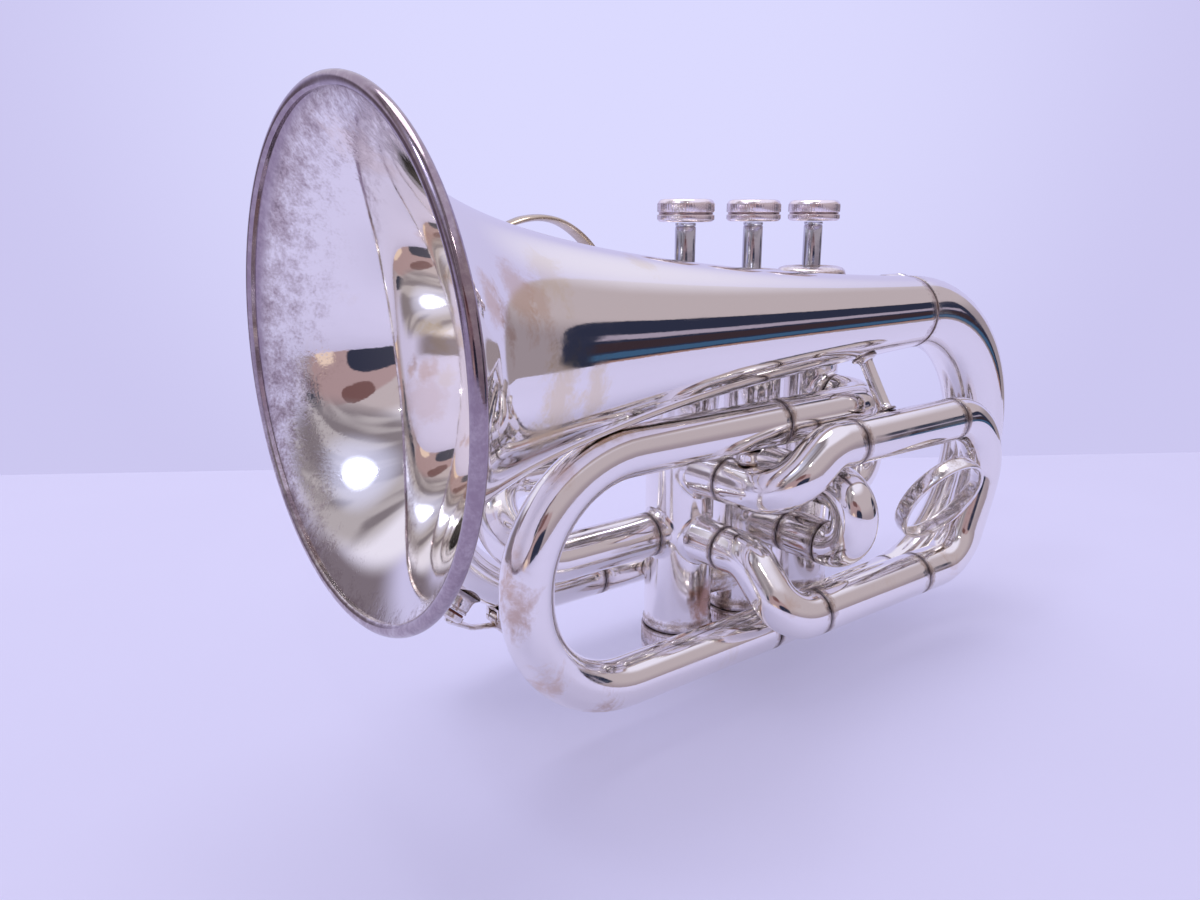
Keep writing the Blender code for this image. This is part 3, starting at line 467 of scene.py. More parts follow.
class Wiring:
    """A node tree with short ways to add nodes and join them."""

    def __init__(self, tree: bpy.types.NodeTree) -> None:
        """Keep the tree."""
        self.tree = tree

    def add(self, kind: str, **settings: object) -> bpy.types.Node:
        """Add a node and set its own properties."""
        node = self.tree.nodes.new(kind)
        for key, value in settings.items():
            setattr(node, key, value)
        return node

    def put(self, socket: bpy.types.NodeSocket, value: object) -> None:
        """Join a socket to another, or write a value on it."""
        if isinstance(value, bpy.types.NodeSocket):
            self.tree.links.new(value, socket)
        elif socket.type == "RGBA" and len(value) == 3:
            socket.default_value = (*value, 1.0)
        else:
            socket.default_value = value

    def math(self, operation: str, first: object, second: object = 0.0,
             clamp: bool = False) -> bpy.types.NodeSocket:
        """Add a sum of one or two values."""
        node = self.add("ShaderNodeMath", operation=operation, use_clamp=clamp)
        self.put(node.inputs[0], first)
        self.put(node.inputs[1], second)
        return node.outputs[0]

    def vector(self, operation: str, first: object, second: object) -> bpy.types.NodeSocket:
        """Add a sum of two vectors."""
        node = self.add("ShaderNodeVectorMath", operation=operation)
        self.put(node.inputs[0], first)
        self.put(node.inputs[1], second)
        return node.outputs[1 if operation in ("DOT_PRODUCT", "LENGTH", "DISTANCE") else 0]

    def span(self, value: object, low: float, high: float, first: float = 0.0,
             last: float = 1.0) -> bpy.types.NodeSocket:
        """Ease a value from one number to another while it goes from low to high."""
        node = self.add("ShaderNodeMapRange", interpolation_type="SMOOTHSTEP")
        self.put(node.inputs["Value"], value)
        for key, number in (("From Min", low), ("From Max", high), ("To Min", first),
                            ("To Max", last)):
            self.put(node.inputs[key], number)
        return node.outputs["Result"]

    def mix(self, share: object, first: object, second: object,
            blend: str = "MIX") -> bpy.types.NodeSocket:
        """Mix two colours."""
        node = self.add("ShaderNodeMix", data_type="RGBA", blend_type=blend)
        self.put(node.inputs[0], share)
        self.put(node.inputs[6], first)
        self.put(node.inputs[7], second)
        return node.outputs[2]

    def noise(self, place: object, scale: object, detail: float = 4.0, roughness: float = 0.55,
              distortion: float = 0.0) -> bpy.types.NodeSocket:
        """Add a cloud of noise and return its value."""
        node = self.add("ShaderNodeTexNoise")
        for key, value in (("Vector", place), ("Scale", scale), ("Detail", detail),
                           ("Roughness", roughness), ("Distortion", distortion)):
            self.put(node.inputs[key], value)
        return node.outputs["Fac"]

    def group(self, name: str, **values: object) -> bpy.types.Node:
        """Place a shared group and fill its inputs."""
        node = self.add("ShaderNodeGroup", node_tree=bpy.data.node_groups[name])
        for key, value in values.items():
            self.put(node.inputs[key], value)
        return node


class SharedEffects:
    """The node groups that more than one finish uses."""

    VEIL = "tarnish_veil"
    SPOT = "stain_spot"
    MARKS = "polish_marks"

    def build(self) -> None:
        """Build every group once."""
        self.veil()
        self.spot()
        self.marks()

    def start(self, name: str, inputs: Sequence[tuple[str, str]],
              outputs: Sequence[tuple[str, str]]) -> tuple[Wiring, dict, bpy.types.Node]:
        """Open a group.

        Args:
            name: The group's name.
            inputs: Name and kind of each input.
            outputs: Name and kind of each output.

        Returns:
            The wiring, the inner ends of the inputs by name, and the output node.
        """
        tree = bpy.data.node_groups.new(name, "ShaderNodeTree")
        for label, kind in inputs:
            tree.interface.new_socket(label, in_out="INPUT", socket_type=f"NodeSocket{kind}")
        for label, kind in outputs:
            tree.interface.new_socket(label, in_out="OUTPUT", socket_type=f"NodeSocket{kind}")
        wiring = Wiring(tree)
        entry = wiring.add("NodeGroupInput")
        return wiring, {s.name: s for s in entry.outputs if s.name}, wiring.add("NodeGroupOutput")

    def veil(self) -> None:
        """Cloudy tarnish with a mottled crust where the weight says so."""
        w, given, out = self.start(self.VEIL, (("Place", "Vector"), ("Scale", "Float"),
                                               ("Cover", "Float"), ("Crust", "Float")),
                                   (("Haze", "Float"), ("Crust", "Float"), ("Deep", "Float"),
                                    ("Grain", "Float")))
        cloud = w.noise(given["Place"], given["Scale"], 6.0, 0.62, 0.8)
        blotch = w.noise(given["Place"], 110.0, 4.0, 0.6, 0.2)
        mottle = w.noise(given["Place"], 380.0, 4.0, 0.62)
        grain = w.noise(given["Place"], 1500.0, 3.0, 0.6)
        low = w.math("SUBTRACT", 0.78, w.math("MULTIPLY", given["Cover"], 0.5))
        haze = w.math("DIVIDE", w.math("SUBTRACT", cloud, low), 0.22, True)
        w.put(out.inputs["Haze"], w.math("MULTIPLY", haze, w.span(mottle, 0.3, 0.6, 0.6, 1.0)))
        ragged = w.math("ADD", w.math("MULTIPLY", w.math("SUBTRACT", blotch, 0.5), 1.3),
                        w.math("MULTIPLY", w.math("SUBTRACT", mottle, 0.5), 1.2))
        ragged = w.math("ADD", ragged, w.math("MULTIPLY", w.math("SUBTRACT", grain, 0.5), 0.9))
        crust = w.math("ADD", given["Crust"], ragged)
        some = w.span(given["Crust"], 0.02, 0.2)
        w.put(out.inputs["Crust"], w.math("MULTIPLY", w.span(crust, 0.08, 0.85), some))
        w.put(out.inputs["Deep"], w.math("MULTIPLY", w.span(crust, 0.62, 1.25), some))
        w.put(out.inputs["Grain"], w.math("ADD", mottle, w.math("MULTIPLY", grain, 0.5)))

    def spot(self) -> None:
        """A ragged stain about one place."""
        w, given, out = self.start(self.SPOT, (("Place", "Vector"), ("Centre", "Vector"),
                                               ("Size", "Float"), ("Streak", "Float")),
                                   (("Mask", "Float"),))
        offset = w.vector("SUBTRACT", given["Place"], given["Centre"])
        part = w.add("ShaderNodeSeparateXYZ")
        w.put(part.inputs[0], offset)
        shape = w.add("ShaderNodeCombineXYZ")
        w.put(shape.inputs[0], part.outputs[0])
        w.put(shape.inputs[1], part.outputs[1])
        w.put(shape.inputs[2], w.math("MULTIPLY", part.outputs[2], given["Streak"]))
        far = w.math("DIVIDE", w.vector("LENGTH", shape.outputs[0], (0.0, 0.0, 0.0)),
                     given["Size"])
        wide = w.noise(given["Place"], 130.0, 4.0, 0.6, 1.2)
        fine = w.noise(given["Place"], 700.0, 4.0, 0.7, 0.6)
        far = w.math("ADD", far, w.math("MULTIPLY", w.math("SUBTRACT", wide, 0.5), 1.9))
        far = w.math("ADD", far, w.math("MULTIPLY", w.math("SUBTRACT", fine, 0.5), 0.8))
        w.put(out.inputs["Mask"], w.span(far, 1.05, 0.25))

    def marks(self) -> None:
        """Wiping marks, faint dents and fine scratches."""
        w, given, out = self.start(self.MARKS, (("Place", "Vector"), ("Strength", "Float")),
                                   (("Dull", "Float"), ("Height", "Float")))
        smear = w.noise(w.vector("MULTIPLY", given["Place"], (0.5, 1.0, 1.6)), 95.0, 5.0, 0.6, 1.5)
        hair = w.noise(w.vector("MULTIPLY", given["Place"], (0.12, 1.0, 1.0)), 2600.0, 2.0)
        dull = w.math("MULTIPLY", w.span(smear, 0.45, 0.75), given["Strength"])
        w.put(out.inputs["Dull"], w.math("ADD", dull, w.math("MULTIPLY", w.span(hair, 0.55, 0.8),
                                                             w.math("MULTIPLY", given["Strength"],
                                                                    0.35))))
        wave = w.noise(given["Place"], 38.0, 2.0, 0.5)
        w.put(out.inputs["Height"], w.math("ADD", w.math("MULTIPLY", wave, 0.8),
                                           w.math("MULTIPLY", hair, 0.02)))


@dataclass(frozen=True)
class Spot:
    """A stain at one place on the plating."""

    centre: Point
    size: float
    colour: Colour
    streak: float = 1.0
    share: float = 0.8


@dataclass(frozen=True)
class Finish:
    """A finish: its name, the slot that it takes and how its material is wired."""

    name: str
    slot: Slot

    def material(self) -> bpy.types.Material:
        """Return the material, made the first time that it is asked for."""
        found = bpy.data.materials.get(self.name)
        if found:
            return found
        made = bpy.data.materials.new(self.name)
        made.use_nodes = True
        wiring = Wiring(made.node_tree)
        shader = made.node_tree.nodes["Principled BSDF"]
        self.wire(wiring, shader, wiring.add("ShaderNodeTexCoord").outputs["Object"])
        return made

    def wire(self, w: Wiring, shader: bpy.types.Node, place: bpy.types.NodeSocket) -> None:
        """Wire the shader; each kind of finish has its own way."""
        raise NotImplementedError

    def bump(self, w: Wiring, shader: bpy.types.Node, height: object, distance: float) -> None:
        """Feed a height to the shader's normal."""
        node = w.add("ShaderNodeBump")
        node.inputs["Strength"].default_value = 1.0
        node.inputs["Distance"].default_value = distance
        w.put(node.inputs["Height"], height)
        w.put(shader.inputs["Normal"], node.outputs["Normal"])


@dataclass(frozen=True)
class PlatedFinish(Finish):
    """Silver plate with tarnish, wiping marks, stains, painted shade in its crevices and, where
    asked, a painted glow in the bell's throat.
    """

    plate: Colour = (0.94, 0.91, 0.88)
    haze: Colour = (0.83, 0.74, 0.60)
    crust: Colour = (0.50, 0.39, 0.31)
    deep: Colour = (0.085, 0.058, 0.062)
    cover: float = 0.30
    cloud_scale: float = 42.0
    crust_share: float = 0.8
    film: Colour = (0.15, 0.115, 0.12)
    # warm, warm_share, shut_in and shut_cover darken and brown the places that the crevice weight
    # marks as shut in: part tarnish that stays there, part painted shade.
    warm: Colour = (0.62, 0.44, 0.28)
    warm_share: float = 0.55
    film_share: float = 0.8
    shut_in: float = 0.12
    edge_share: float = 0.9
    shut_cover: float = 0.35
    haze_share: float = 0.85
    film_clears: float = 0.6
    crust_rough: float = 0.26
    crust_height: float = 0.4
    stain_rough: float = 0.12
    smoothness: float = 0.06
    marks: float = 0.10
    ripple: float = 0.00010
    # Painted light: an emission colour and strength that make the bell's throat glow faintly,
    # though no lamp is there.
    throat_painted_light: Colour = (0.30, 0.26, 0.27)
    throat_light_strength: float = 0.0
    spots: tuple[Spot, ...] = ()

    def wire(self, w: Wiring, shader: bpy.types.Node, place: bpy.types.NodeSocket) -> None:
        """Wire the plate."""
        edge = w.add("ShaderNodeAttribute", attribute_name="edge").outputs["Fac"]
        # The crevice weight is an occlusion measure; it adds haze and crust, so this dirt is part
        # tarnish and part painted shade.
        shut = w.add("ShaderNodeAttribute", attribute_name="crevice").outputs["Fac"]
        dirt = w.math("ADD", w.math("MULTIPLY", edge, self.edge_share),
                      w.math("MULTIPLY", shut, self.shut_in))
        veil = w.group(SharedEffects.VEIL, Place=place, Scale=self.cloud_scale,
                       Cover=w.math("ADD", self.cover, w.math("MULTIPLY", shut, self.shut_cover)),
                       Crust=dirt)
        marks = w.group(SharedEffects.MARKS, Place=place, Strength=self.marks)
        colour = w.mix(w.math("MULTIPLY", veil.outputs["Haze"], self.haze_share), self.plate,
                       self.haze)
        rim = w.math("MULTIPLY", w.span(edge, 0.72, 1.0), self.film_share)
        bare = w.math("SUBTRACT", self.crust_share, w.math("MULTIPLY", rim, self.film_clears))
        crust = w.math("MULTIPLY", veil.outputs["Crust"], bare)
        colour = w.mix(crust, colour, self.crust)
        colour = w.mix(w.math("MULTIPLY", veil.outputs["Deep"], bare), colour, self.deep)
        colour = w.mix(w.math("MULTIPLY", rim, w.span(veil.outputs["Grain"], 0.4, 1.0, 0.75, 1.0)),
                       colour, self.film)
        rough = w.math("ADD", w.math("MULTIPLY", crust, self.crust_rough),
                       w.math("ADD", marks.outputs["Dull"], self.smoothness))
        # Brown where the crevice weight is high: part tarnish, part painted shade.
        warm = w.math("MULTIPLY", w.span(shut, 0.35, 0.85),
                      w.span(veil.outputs["Grain"], 0.6, 0.95))
        colour = w.mix(w.math("MULTIPLY", warm, self.warm_share), colour, self.warm)
        for spot in self.spots:
            mask = w.group(SharedEffects.SPOT, Place=place, Size=spot.size * MM,
                           Centre=Vector(spot.centre) * MM, Streak=spot.streak).outputs["Mask"]
            mask = w.math("MULTIPLY", mask, spot.share)
            colour = w.mix(mask, colour, spot.colour)
            rough = w.math("ADD", rough, w.math("MULTIPLY", mask, self.stain_rough))
        w.put(shader.inputs["Base Color"], colour)
        w.put(shader.inputs["Roughness"], rough)
        shader.inputs["Metallic"].default_value = 1.0
        height = w.math("ADD", marks.outputs["Height"],
                        w.math("MULTIPLY", w.math("MULTIPLY", veil.outputs["Grain"], crust),
                               self.crust_height))
        self.bump(w, shader, height, self.ripple)
        # Painted light: the throat weight makes the deep inside of the bell glow, so that it isn't
        # black.
        if self.throat_light_strength:
            deep = w.add("ShaderNodeAttribute", attribute_name="throat").outputs["Fac"]
            w.put(shader.inputs["Emission Color"], w.mix(deep, (0.0, 0.0, 0.0), self.throat_painted_light))
            shader.inputs["Emission Strength"].default_value = self.throat_light_strength


@dataclass(frozen=True)
class MachinedFinish(Finish):
    """Turned or drawn metal with fine lines about the pistons' axis."""

    metal: Colour = (0.60, 0.61, 0.64)
    stain: Colour = (0.38, 0.33, 0.32)
    smoothness: float = 0.12
    lines: float = 3600.0

    def wire(self, w: Wiring, shader: bpy.types.Node, place: bpy.types.NodeSocket) -> None:
        """Wire the metal."""
        turned = w.noise(w.vector("MULTIPLY", place, (0.05, 0.05, 1.0)), self.lines, 2.0)
        patch = w.noise(place, 160.0, 5.0, 0.65, 0.8)
        w.put(shader.inputs["Base Color"], w.mix(w.span(patch, 0.5, 0.75), self.metal, self.stain))
        rough = w.math("ADD", w.math("MULTIPLY", w.span(patch, 0.4, 0.8), 0.14), self.smoothness)
        w.put(shader.inputs["Roughness"], w.math("ADD", rough, w.math("MULTIPLY", turned, 0.06)))
        shader.inputs["Metallic"].default_value = 1.0
        self.bump(w, shader, turned, 0.00002)


@dataclass(frozen=True)
class CorkFinish(Finish):
    """Pressed cork, darkened by use."""

    light: Colour = (0.42, 0.15, 0.09)
    dark: Colour = (0.16, 0.05, 0.04)

    def wire(self, w: Wiring, shader: bpy.types.Node, place: bpy.types.NodeSocket) -> None:
        """Wire the cork."""
        cell = w.add("ShaderNodeTexVoronoi", feature="DISTANCE_TO_EDGE")
        w.put(cell.inputs["Vector"], place)
        cell.inputs["Scale"].default_value = 1400.0
        blotch = w.noise(place, 900.0, 4.0, 0.7)
        colour = w.mix(w.span(blotch, 0.35, 0.65), self.dark, self.light)
        colour = w.mix(w.span(cell.outputs["Distance"], 0.12, 0.0), colour, self.dark)
        w.put(shader.inputs["Base Color"], colour)
        w.put(shader.inputs["Roughness"], w.span(blotch, 0.3, 0.7, 0.9, 0.7))
        self.bump(w, shader, cell.outputs["Distance"], 0.0001)


STRAW: Colour = (0.86, 0.74, 0.50)
HONEY: Colour = (0.74, 0.55, 0.40)
BROWN: Colour = (0.58, 0.41, 0.30)
RUST: Colour = (0.50, 0.26, 0.15)

BELL_PLATE = PlatedFinish(
    "bell_plate", Slot.BELL, plate=(0.94, 0.91, 0.87), haze=(0.84, 0.76, 0.64), cover=0.20,
    cloud_scale=30.0, crust=(0.42, 0.325, 0.33), deep=(0.15, 0.10, 0.125), film=(0.30, 0.22, 0.28),
    film_share=0.85, smoothness=0.03, marks=0.05, throat_light_strength=1.0, spots=(
        Spot((-127.2, -62.2, 118.5), 3.6, HONEY, 0.35, 0.75),
        Spot((-124.0, -61.0, 112.0), 2.6, BROWN, 0.30, 0.65),
        Spot((-118.7, -56.6, 119.3), 5.0, HONEY, 0.40, 0.65),
        Spot((-112.8, -54.9, 115.1), 4.0, HONEY, 0.35, 0.55),
        Spot((-108.0, -50.0, 122.0), 6.5, STRAW, 0.60, 0.40),
        Spot((-109.2, -55.8, 97.3), 7.5, STRAW, 0.55, 0.75),
        Spot((-98.0, -52.0, 97.0), 5.5, STRAW, 0.50, 0.70),
        Spot((-114.2, -56.3, 91.2), 6.0, STRAW, 0.60, 0.55),
        Spot((-111.7, -4.7, 90.4), 6.0, HONEY, 0.80, 0.35),
        Spot((-133.0, -25.6, 143.9), 9.0, HONEY, 0.80, 0.30),
        Spot((-74.4, -37.2, 121.0), 5.0, STRAW, 0.50, 0.45)))
TUBE_PLATE = PlatedFinish(
    "tube_plate", Slot.TUBE, smoothness=0.065, spots=(
        Spot((-106.7, -33.0, 46.5), 6.5, BROWN, 0.55, 0.80),
        Spot((-107.0, -31.0, 57.0), 5.0, HONEY, 0.45, 0.55),
        Spot((-81.7, -31.0, 11.0), 8.0, BROWN, 0.90, 0.80),
        Spot((-97.0, -31.0, 26.0), 6.0, HONEY, 0.80, 0.65),
        Spot((-92.1, -31.0, 76.0), 4.5, HONEY, 0.90, 0.45),
        Spot((-18.1, -40.0, 36.8), 5.0, HONEY, 0.90, 0.40),
        Spot((-27.5, -45.0, 30.1), 3.5, HONEY, 0.90, 0.40),
        Spot((44.0, -44.0, 26.4), 6.0, HONEY, 0.80, 0.40)))
CASING_PLATE = PlatedFinish(
    "casing_plate", Slot.TUBE, plate=(0.95, 0.92, 0.90), cover=0.26, smoothness=0.10, marks=0.12,
    spots=(Spot((-26.0, -9.0, 19.2), 6.0, RUST, 0.70, 0.85),
           Spot((-14.0, -6.0, 14.0), 5.0, RUST, 0.70, 0.80),
           Spot((-12.0, -7.0, 34.0), 5.0, BROWN, 0.70, 0.60)))
CAP_PLATE = PlatedFinish("cap_plate", Slot.CAP, plate=(0.90, 0.84, 0.83), haze=(0.66, 0.52, 0.48),
                         cover=0.5, cloud_scale=90.0, smoothness=0.15)
BUTTON_PLATE = PlatedFinish("button_plate", Slot.BUTTON, plate=(0.97, 0.90, 0.92),
                            haze=(0.84, 0.70, 0.69), crust=(0.66, 0.52, 0.50),
                            film=(0.34, 0.24, 0.24), cover=0.5, cloud_scale=110.0,
                            crust_share=0.6, smoothness=0.17, marks=0.14)
HOOK_PLATE = PlatedFinish("hook_plate", Slot.TUBE, plate=(0.62, 0.53, 0.42),
                          haze=(0.40, 0.31, 0.21), cover=0.7, cloud_scale=60.0, smoothness=0.14)
PISTON_NICKEL = MachinedFinish("piston_nickel", Slot.VALVE)
STEM_STEEL = MachinedFinish("stem_polished_steel", Slot.STEM, metal=(0.62, 0.63, 0.68),
                            stain=(0.45, 0.45, 0.50), smoothness=0.05)
SPRING_WIRE = MachinedFinish("spring_wire", Slot.SPRING, metal=(0.42, 0.42, 0.43),
                             smoothness=0.25)
CORK = CorkFinish("pressed_cork", Slot.CORK)


def straight(start: Point, end: Point) -> list[Vector]:
    """Return a straight route."""
    return [Vector(start), Vector(end)]


def bow_between(start: Point | Vector, end: Point | Vector, axis: int,
                apex: float) -> list[Vector]:
    """Lay a half-round bow between two places.

    Args:
        start: Where the route begins.
        end: Where it ends.
        axis: Number of the axis that both legs run along.
        apex: How far the bow reaches on that axis.

    Returns:
        The points along the route.
    """
    start, end = Vector(start), Vector(end)
    out, back = start.copy(), end.copy()
    out[axis] = back[axis] = apex
    radius = (out - back).length / 2.0
    return rounded([start, out, back, end], [radius - TUBING.lead_in] * 2)


def fillet_steps(size: float, sunk: float = 0.03) -> list[tuple[float, float]]:
    """Return how far each ring of a fillet spreads over a tube and rises off the wall."""
    turns = [math.radians(15.0 * k) for k in range(7)]
    return [(size * (1.0 - math.sin(turn)), size * (1.0 - math.cos(turn)) - sunk)
            for turn in turns]


def lay_tube(route: Sequence[Vector], piece: str, node: str) -> None:
    """Sweep a plain silver tube along a route and fix it to the frame."""
    Form().tube(route, TUBING.outer, TUBING.bore).publish(piece, TUBE_PLATE, "frame", [node])


@dataclass
class BellBranch:
    """Bell, back bow, bottom tube, front bow and top leg."""

    mouth: Point = (-140.7, -29.2, 104.4)
    tail: Point = (43.0, -25.0, 102.5)
    rim_r: float = 50.4
    tail_r: float = 11.0
    bead_r: float = 1.5
    bead_seat: float = 0.5
    wall: float = 0.7
    flare_place: float = 10.4
    flare_power: float = 0.27
    bell_sides: int = 176
    rows: int = 96
    bow_r: float = 44.0
    bow_end_r: float = 7.4
    front_y: float = -28.2
    front_low_z: float = 15.2
    front_bow_x: float = -69.4
    front_ring_x: float = -17.8
    top_leg_bend_r: float = 14.5

    def flare(self, along: float) -> float:
        """Return the bell's outside radius at a distance behind the mouth."""
        length = self.tail[0] - self.mouth[0]
        last = (self.flare_place / (length + self.flare_place)) ** self.flare_power
        here = (self.flare_place / (along + self.flare_place)) ** self.flare_power
        return self.tail_r + (self.rim_r - self.tail_r) * (here - last) / (1.0 - last)

    def drift(self, along: float) -> Vector:
        """Return how far the bell's middle has moved sideways from the mouth's."""
        share = min(1.0, max(0.0, along / (self.tail[0] - self.mouth[0])))
        ease = share * share * (3.0 - 2.0 * share)
        return Vector((0.0, self.tail[1] - self.mouth[1], self.tail[2] - self.mouth[2])) * ease

    def point_on_bell(self, x: float, towards: Point) -> Vector:
        """Return the place just off the bell's stem at x in a direction."""
        along = x - self.mouth[0]
        middle = Vector((x, self.mouth[1], self.mouth[2])) + self.drift(along)
        return middle + Vector(towards).normalized() * (self.flare(along) + TUBING.gap)

    def build(self) -> None:
        """Build all five pieces."""
        self.bell()
        self.back_bow()
        self.bottom_tube()
        self.front_bow()
        self.top_leg()

    def bell(self) -> None:
        """The flare and stem with a rolled bead, its tarnish thickest at the rim, and a throat
        weight that drives a painted glow inside.
        """
        length = self.tail[0] - self.mouth[0]
        form = Form(self.bell_sides)
        stations = [length * (k / self.rows) ** 2.0 for k in range(self.rows + 1)]
        inside = [(along, self.flare(along) - self.wall) for along in stations[1:]]
        outside = [(along, self.flare(along)) for along in stations[2:-1]]
        bead = []
        for k in range(15):
            turn = math.radians(236.0 - k * 18.0)
            bead.append((self.bead_r * math.cos(turn),
                         self.rim_r + self.bead_seat + self.bead_r * math.sin(turn)))
        end = [(length - 0.3, self.tail_r, 0.8), (length, self.tail_r - 0.3, 1.0)]
        form.turned(self.mouth, REARWARD, inside[::-1] + bead + outside + end)
        # The throat weight grows with depth inside the bell; it drives a painted glow there.
        deep = form.bm.verts.layers.float.new("throat")
        for vert in form.bm.verts:
            place = vert.co - Vector(self.mouth)
            if place.x < length / 4.0:
                vert[form.weights] = self.rim_tarnish_and_reflection(place)
            if math.hypot(place.y, place.z) < self.flare(max(0.0, place.x)) - self.wall / 2.0:
                share = max(0.0, place.x / length - 0.05)
                vert[deep] = min(1.0, 0.6 * share + 4.0 * share * share)
            vert.co += self.drift(place.x)
        form.publish("bell_shell", BELL_PLATE, "frame", ["bell"])

    def rim_tarnish_and_reflection(self, place: Vector) -> float:
        """Return the tarnish near the rim: heavy on the bead, and wide on its far upper side; on
        the bead it also paints a dark reflection, darkest towards the top and the near side.
        """
        out = math.hypot(place.y, place.z)
        depth = max(0.0, self.rim_r - out)
        inner = out < self.flare(max(0.0, place.x)) - self.wall / 2.0
        towards = (place.y * 0.85 + place.z * 0.53) / out
        wide = max(0.0, 0.5 + 0.5 * towards) ** 1.5 if inner else 0.0
        weight = 0.50 * math.exp(-depth / 1.8) + 0.82 * wide * math.exp(-(depth / 10.5) ** 2)
        # Partly a painted reflection: the bead's weight rises towards the top and the near side, so
        # its plum film and crust are darkest there.
        if out > self.rim_r - self.bead_seat and place.x < self.bead_r:
            weight = 1.0 + 0.15 * (place.z - place.y * 0.4) / self.rim_r
        return weight

    def back_bow(self) -> None:
        """The wide bow behind the bell, narrowing as it goes down."""
        top = Vector(self.tail) + Vector((2.0 * TUBING.gap, 0.0, 0.0))
        low = top.z - 2.0 * self.bow_r
        route = bow_between(top, (top.x, top.y, low), 0, top.x + self.bow_r)
        form = Form().tube(route, self.taper, lambda s: self.taper(s) - self.wall)
        form.publish("back_bow_tube", TUBE_PLATE, "frame", ["bell_back_bow"])

    def taper(self, share: float) -> float:
        """Return the back bow's outside radius at a share of its length."""
        return self.tail_r + (self.bow_end_r - self.tail_r) * share ** 1.5

    def bottom_tube(self) -> None:
        """The straight tube along the foot."""
        start = Vector((self.tail[0] + TUBING.gap, self.tail[1], self.tail[2] - 2.0 * self.bow_r))
        end = Vector((self.front_ring_x, self.front_y, self.front_low_z))
        inner_r = self.bow_end_r - self.wall
        form = Form().tube([start, end],
                           lambda s: self.bow_end_r + (TUBING.outer - self.bow_end_r) * s,
                           lambda s: inner_r + (TUBING.bore - inner_r) * s)
        form.publish("bottom_tube", TUBE_PLATE, "frame", ["bell_bottom_tube"])

    def front_bow(self) -> None:
        """The long bow on the near side, under the bell."""
        high, low, y = VALVES.top_leg_z, self.front_low_z, self.front_y
        ring = self.front_ring_x - TUBING.gap
        route = bow_between((ring, y, high), (ring, y, low), 0,
                            self.front_bow_x - (high - low) / 2.0)
        lay_tube(route, "front_bow_tube", "front_bow")

    def top_leg(self) -> None:
        """The leg that turns into the first valve."""
        x, z = VALVES.x(1), VALVES.top_leg_z
        route = rounded([(self.front_ring_x, self.front_y, z), (x, self.front_y, z),
                         (x, -VALVES.short_reach - TUBING.gap, z)], [self.top_leg_bend_r])
        lay_tube(route, "top_leg_tube", "top_leg")


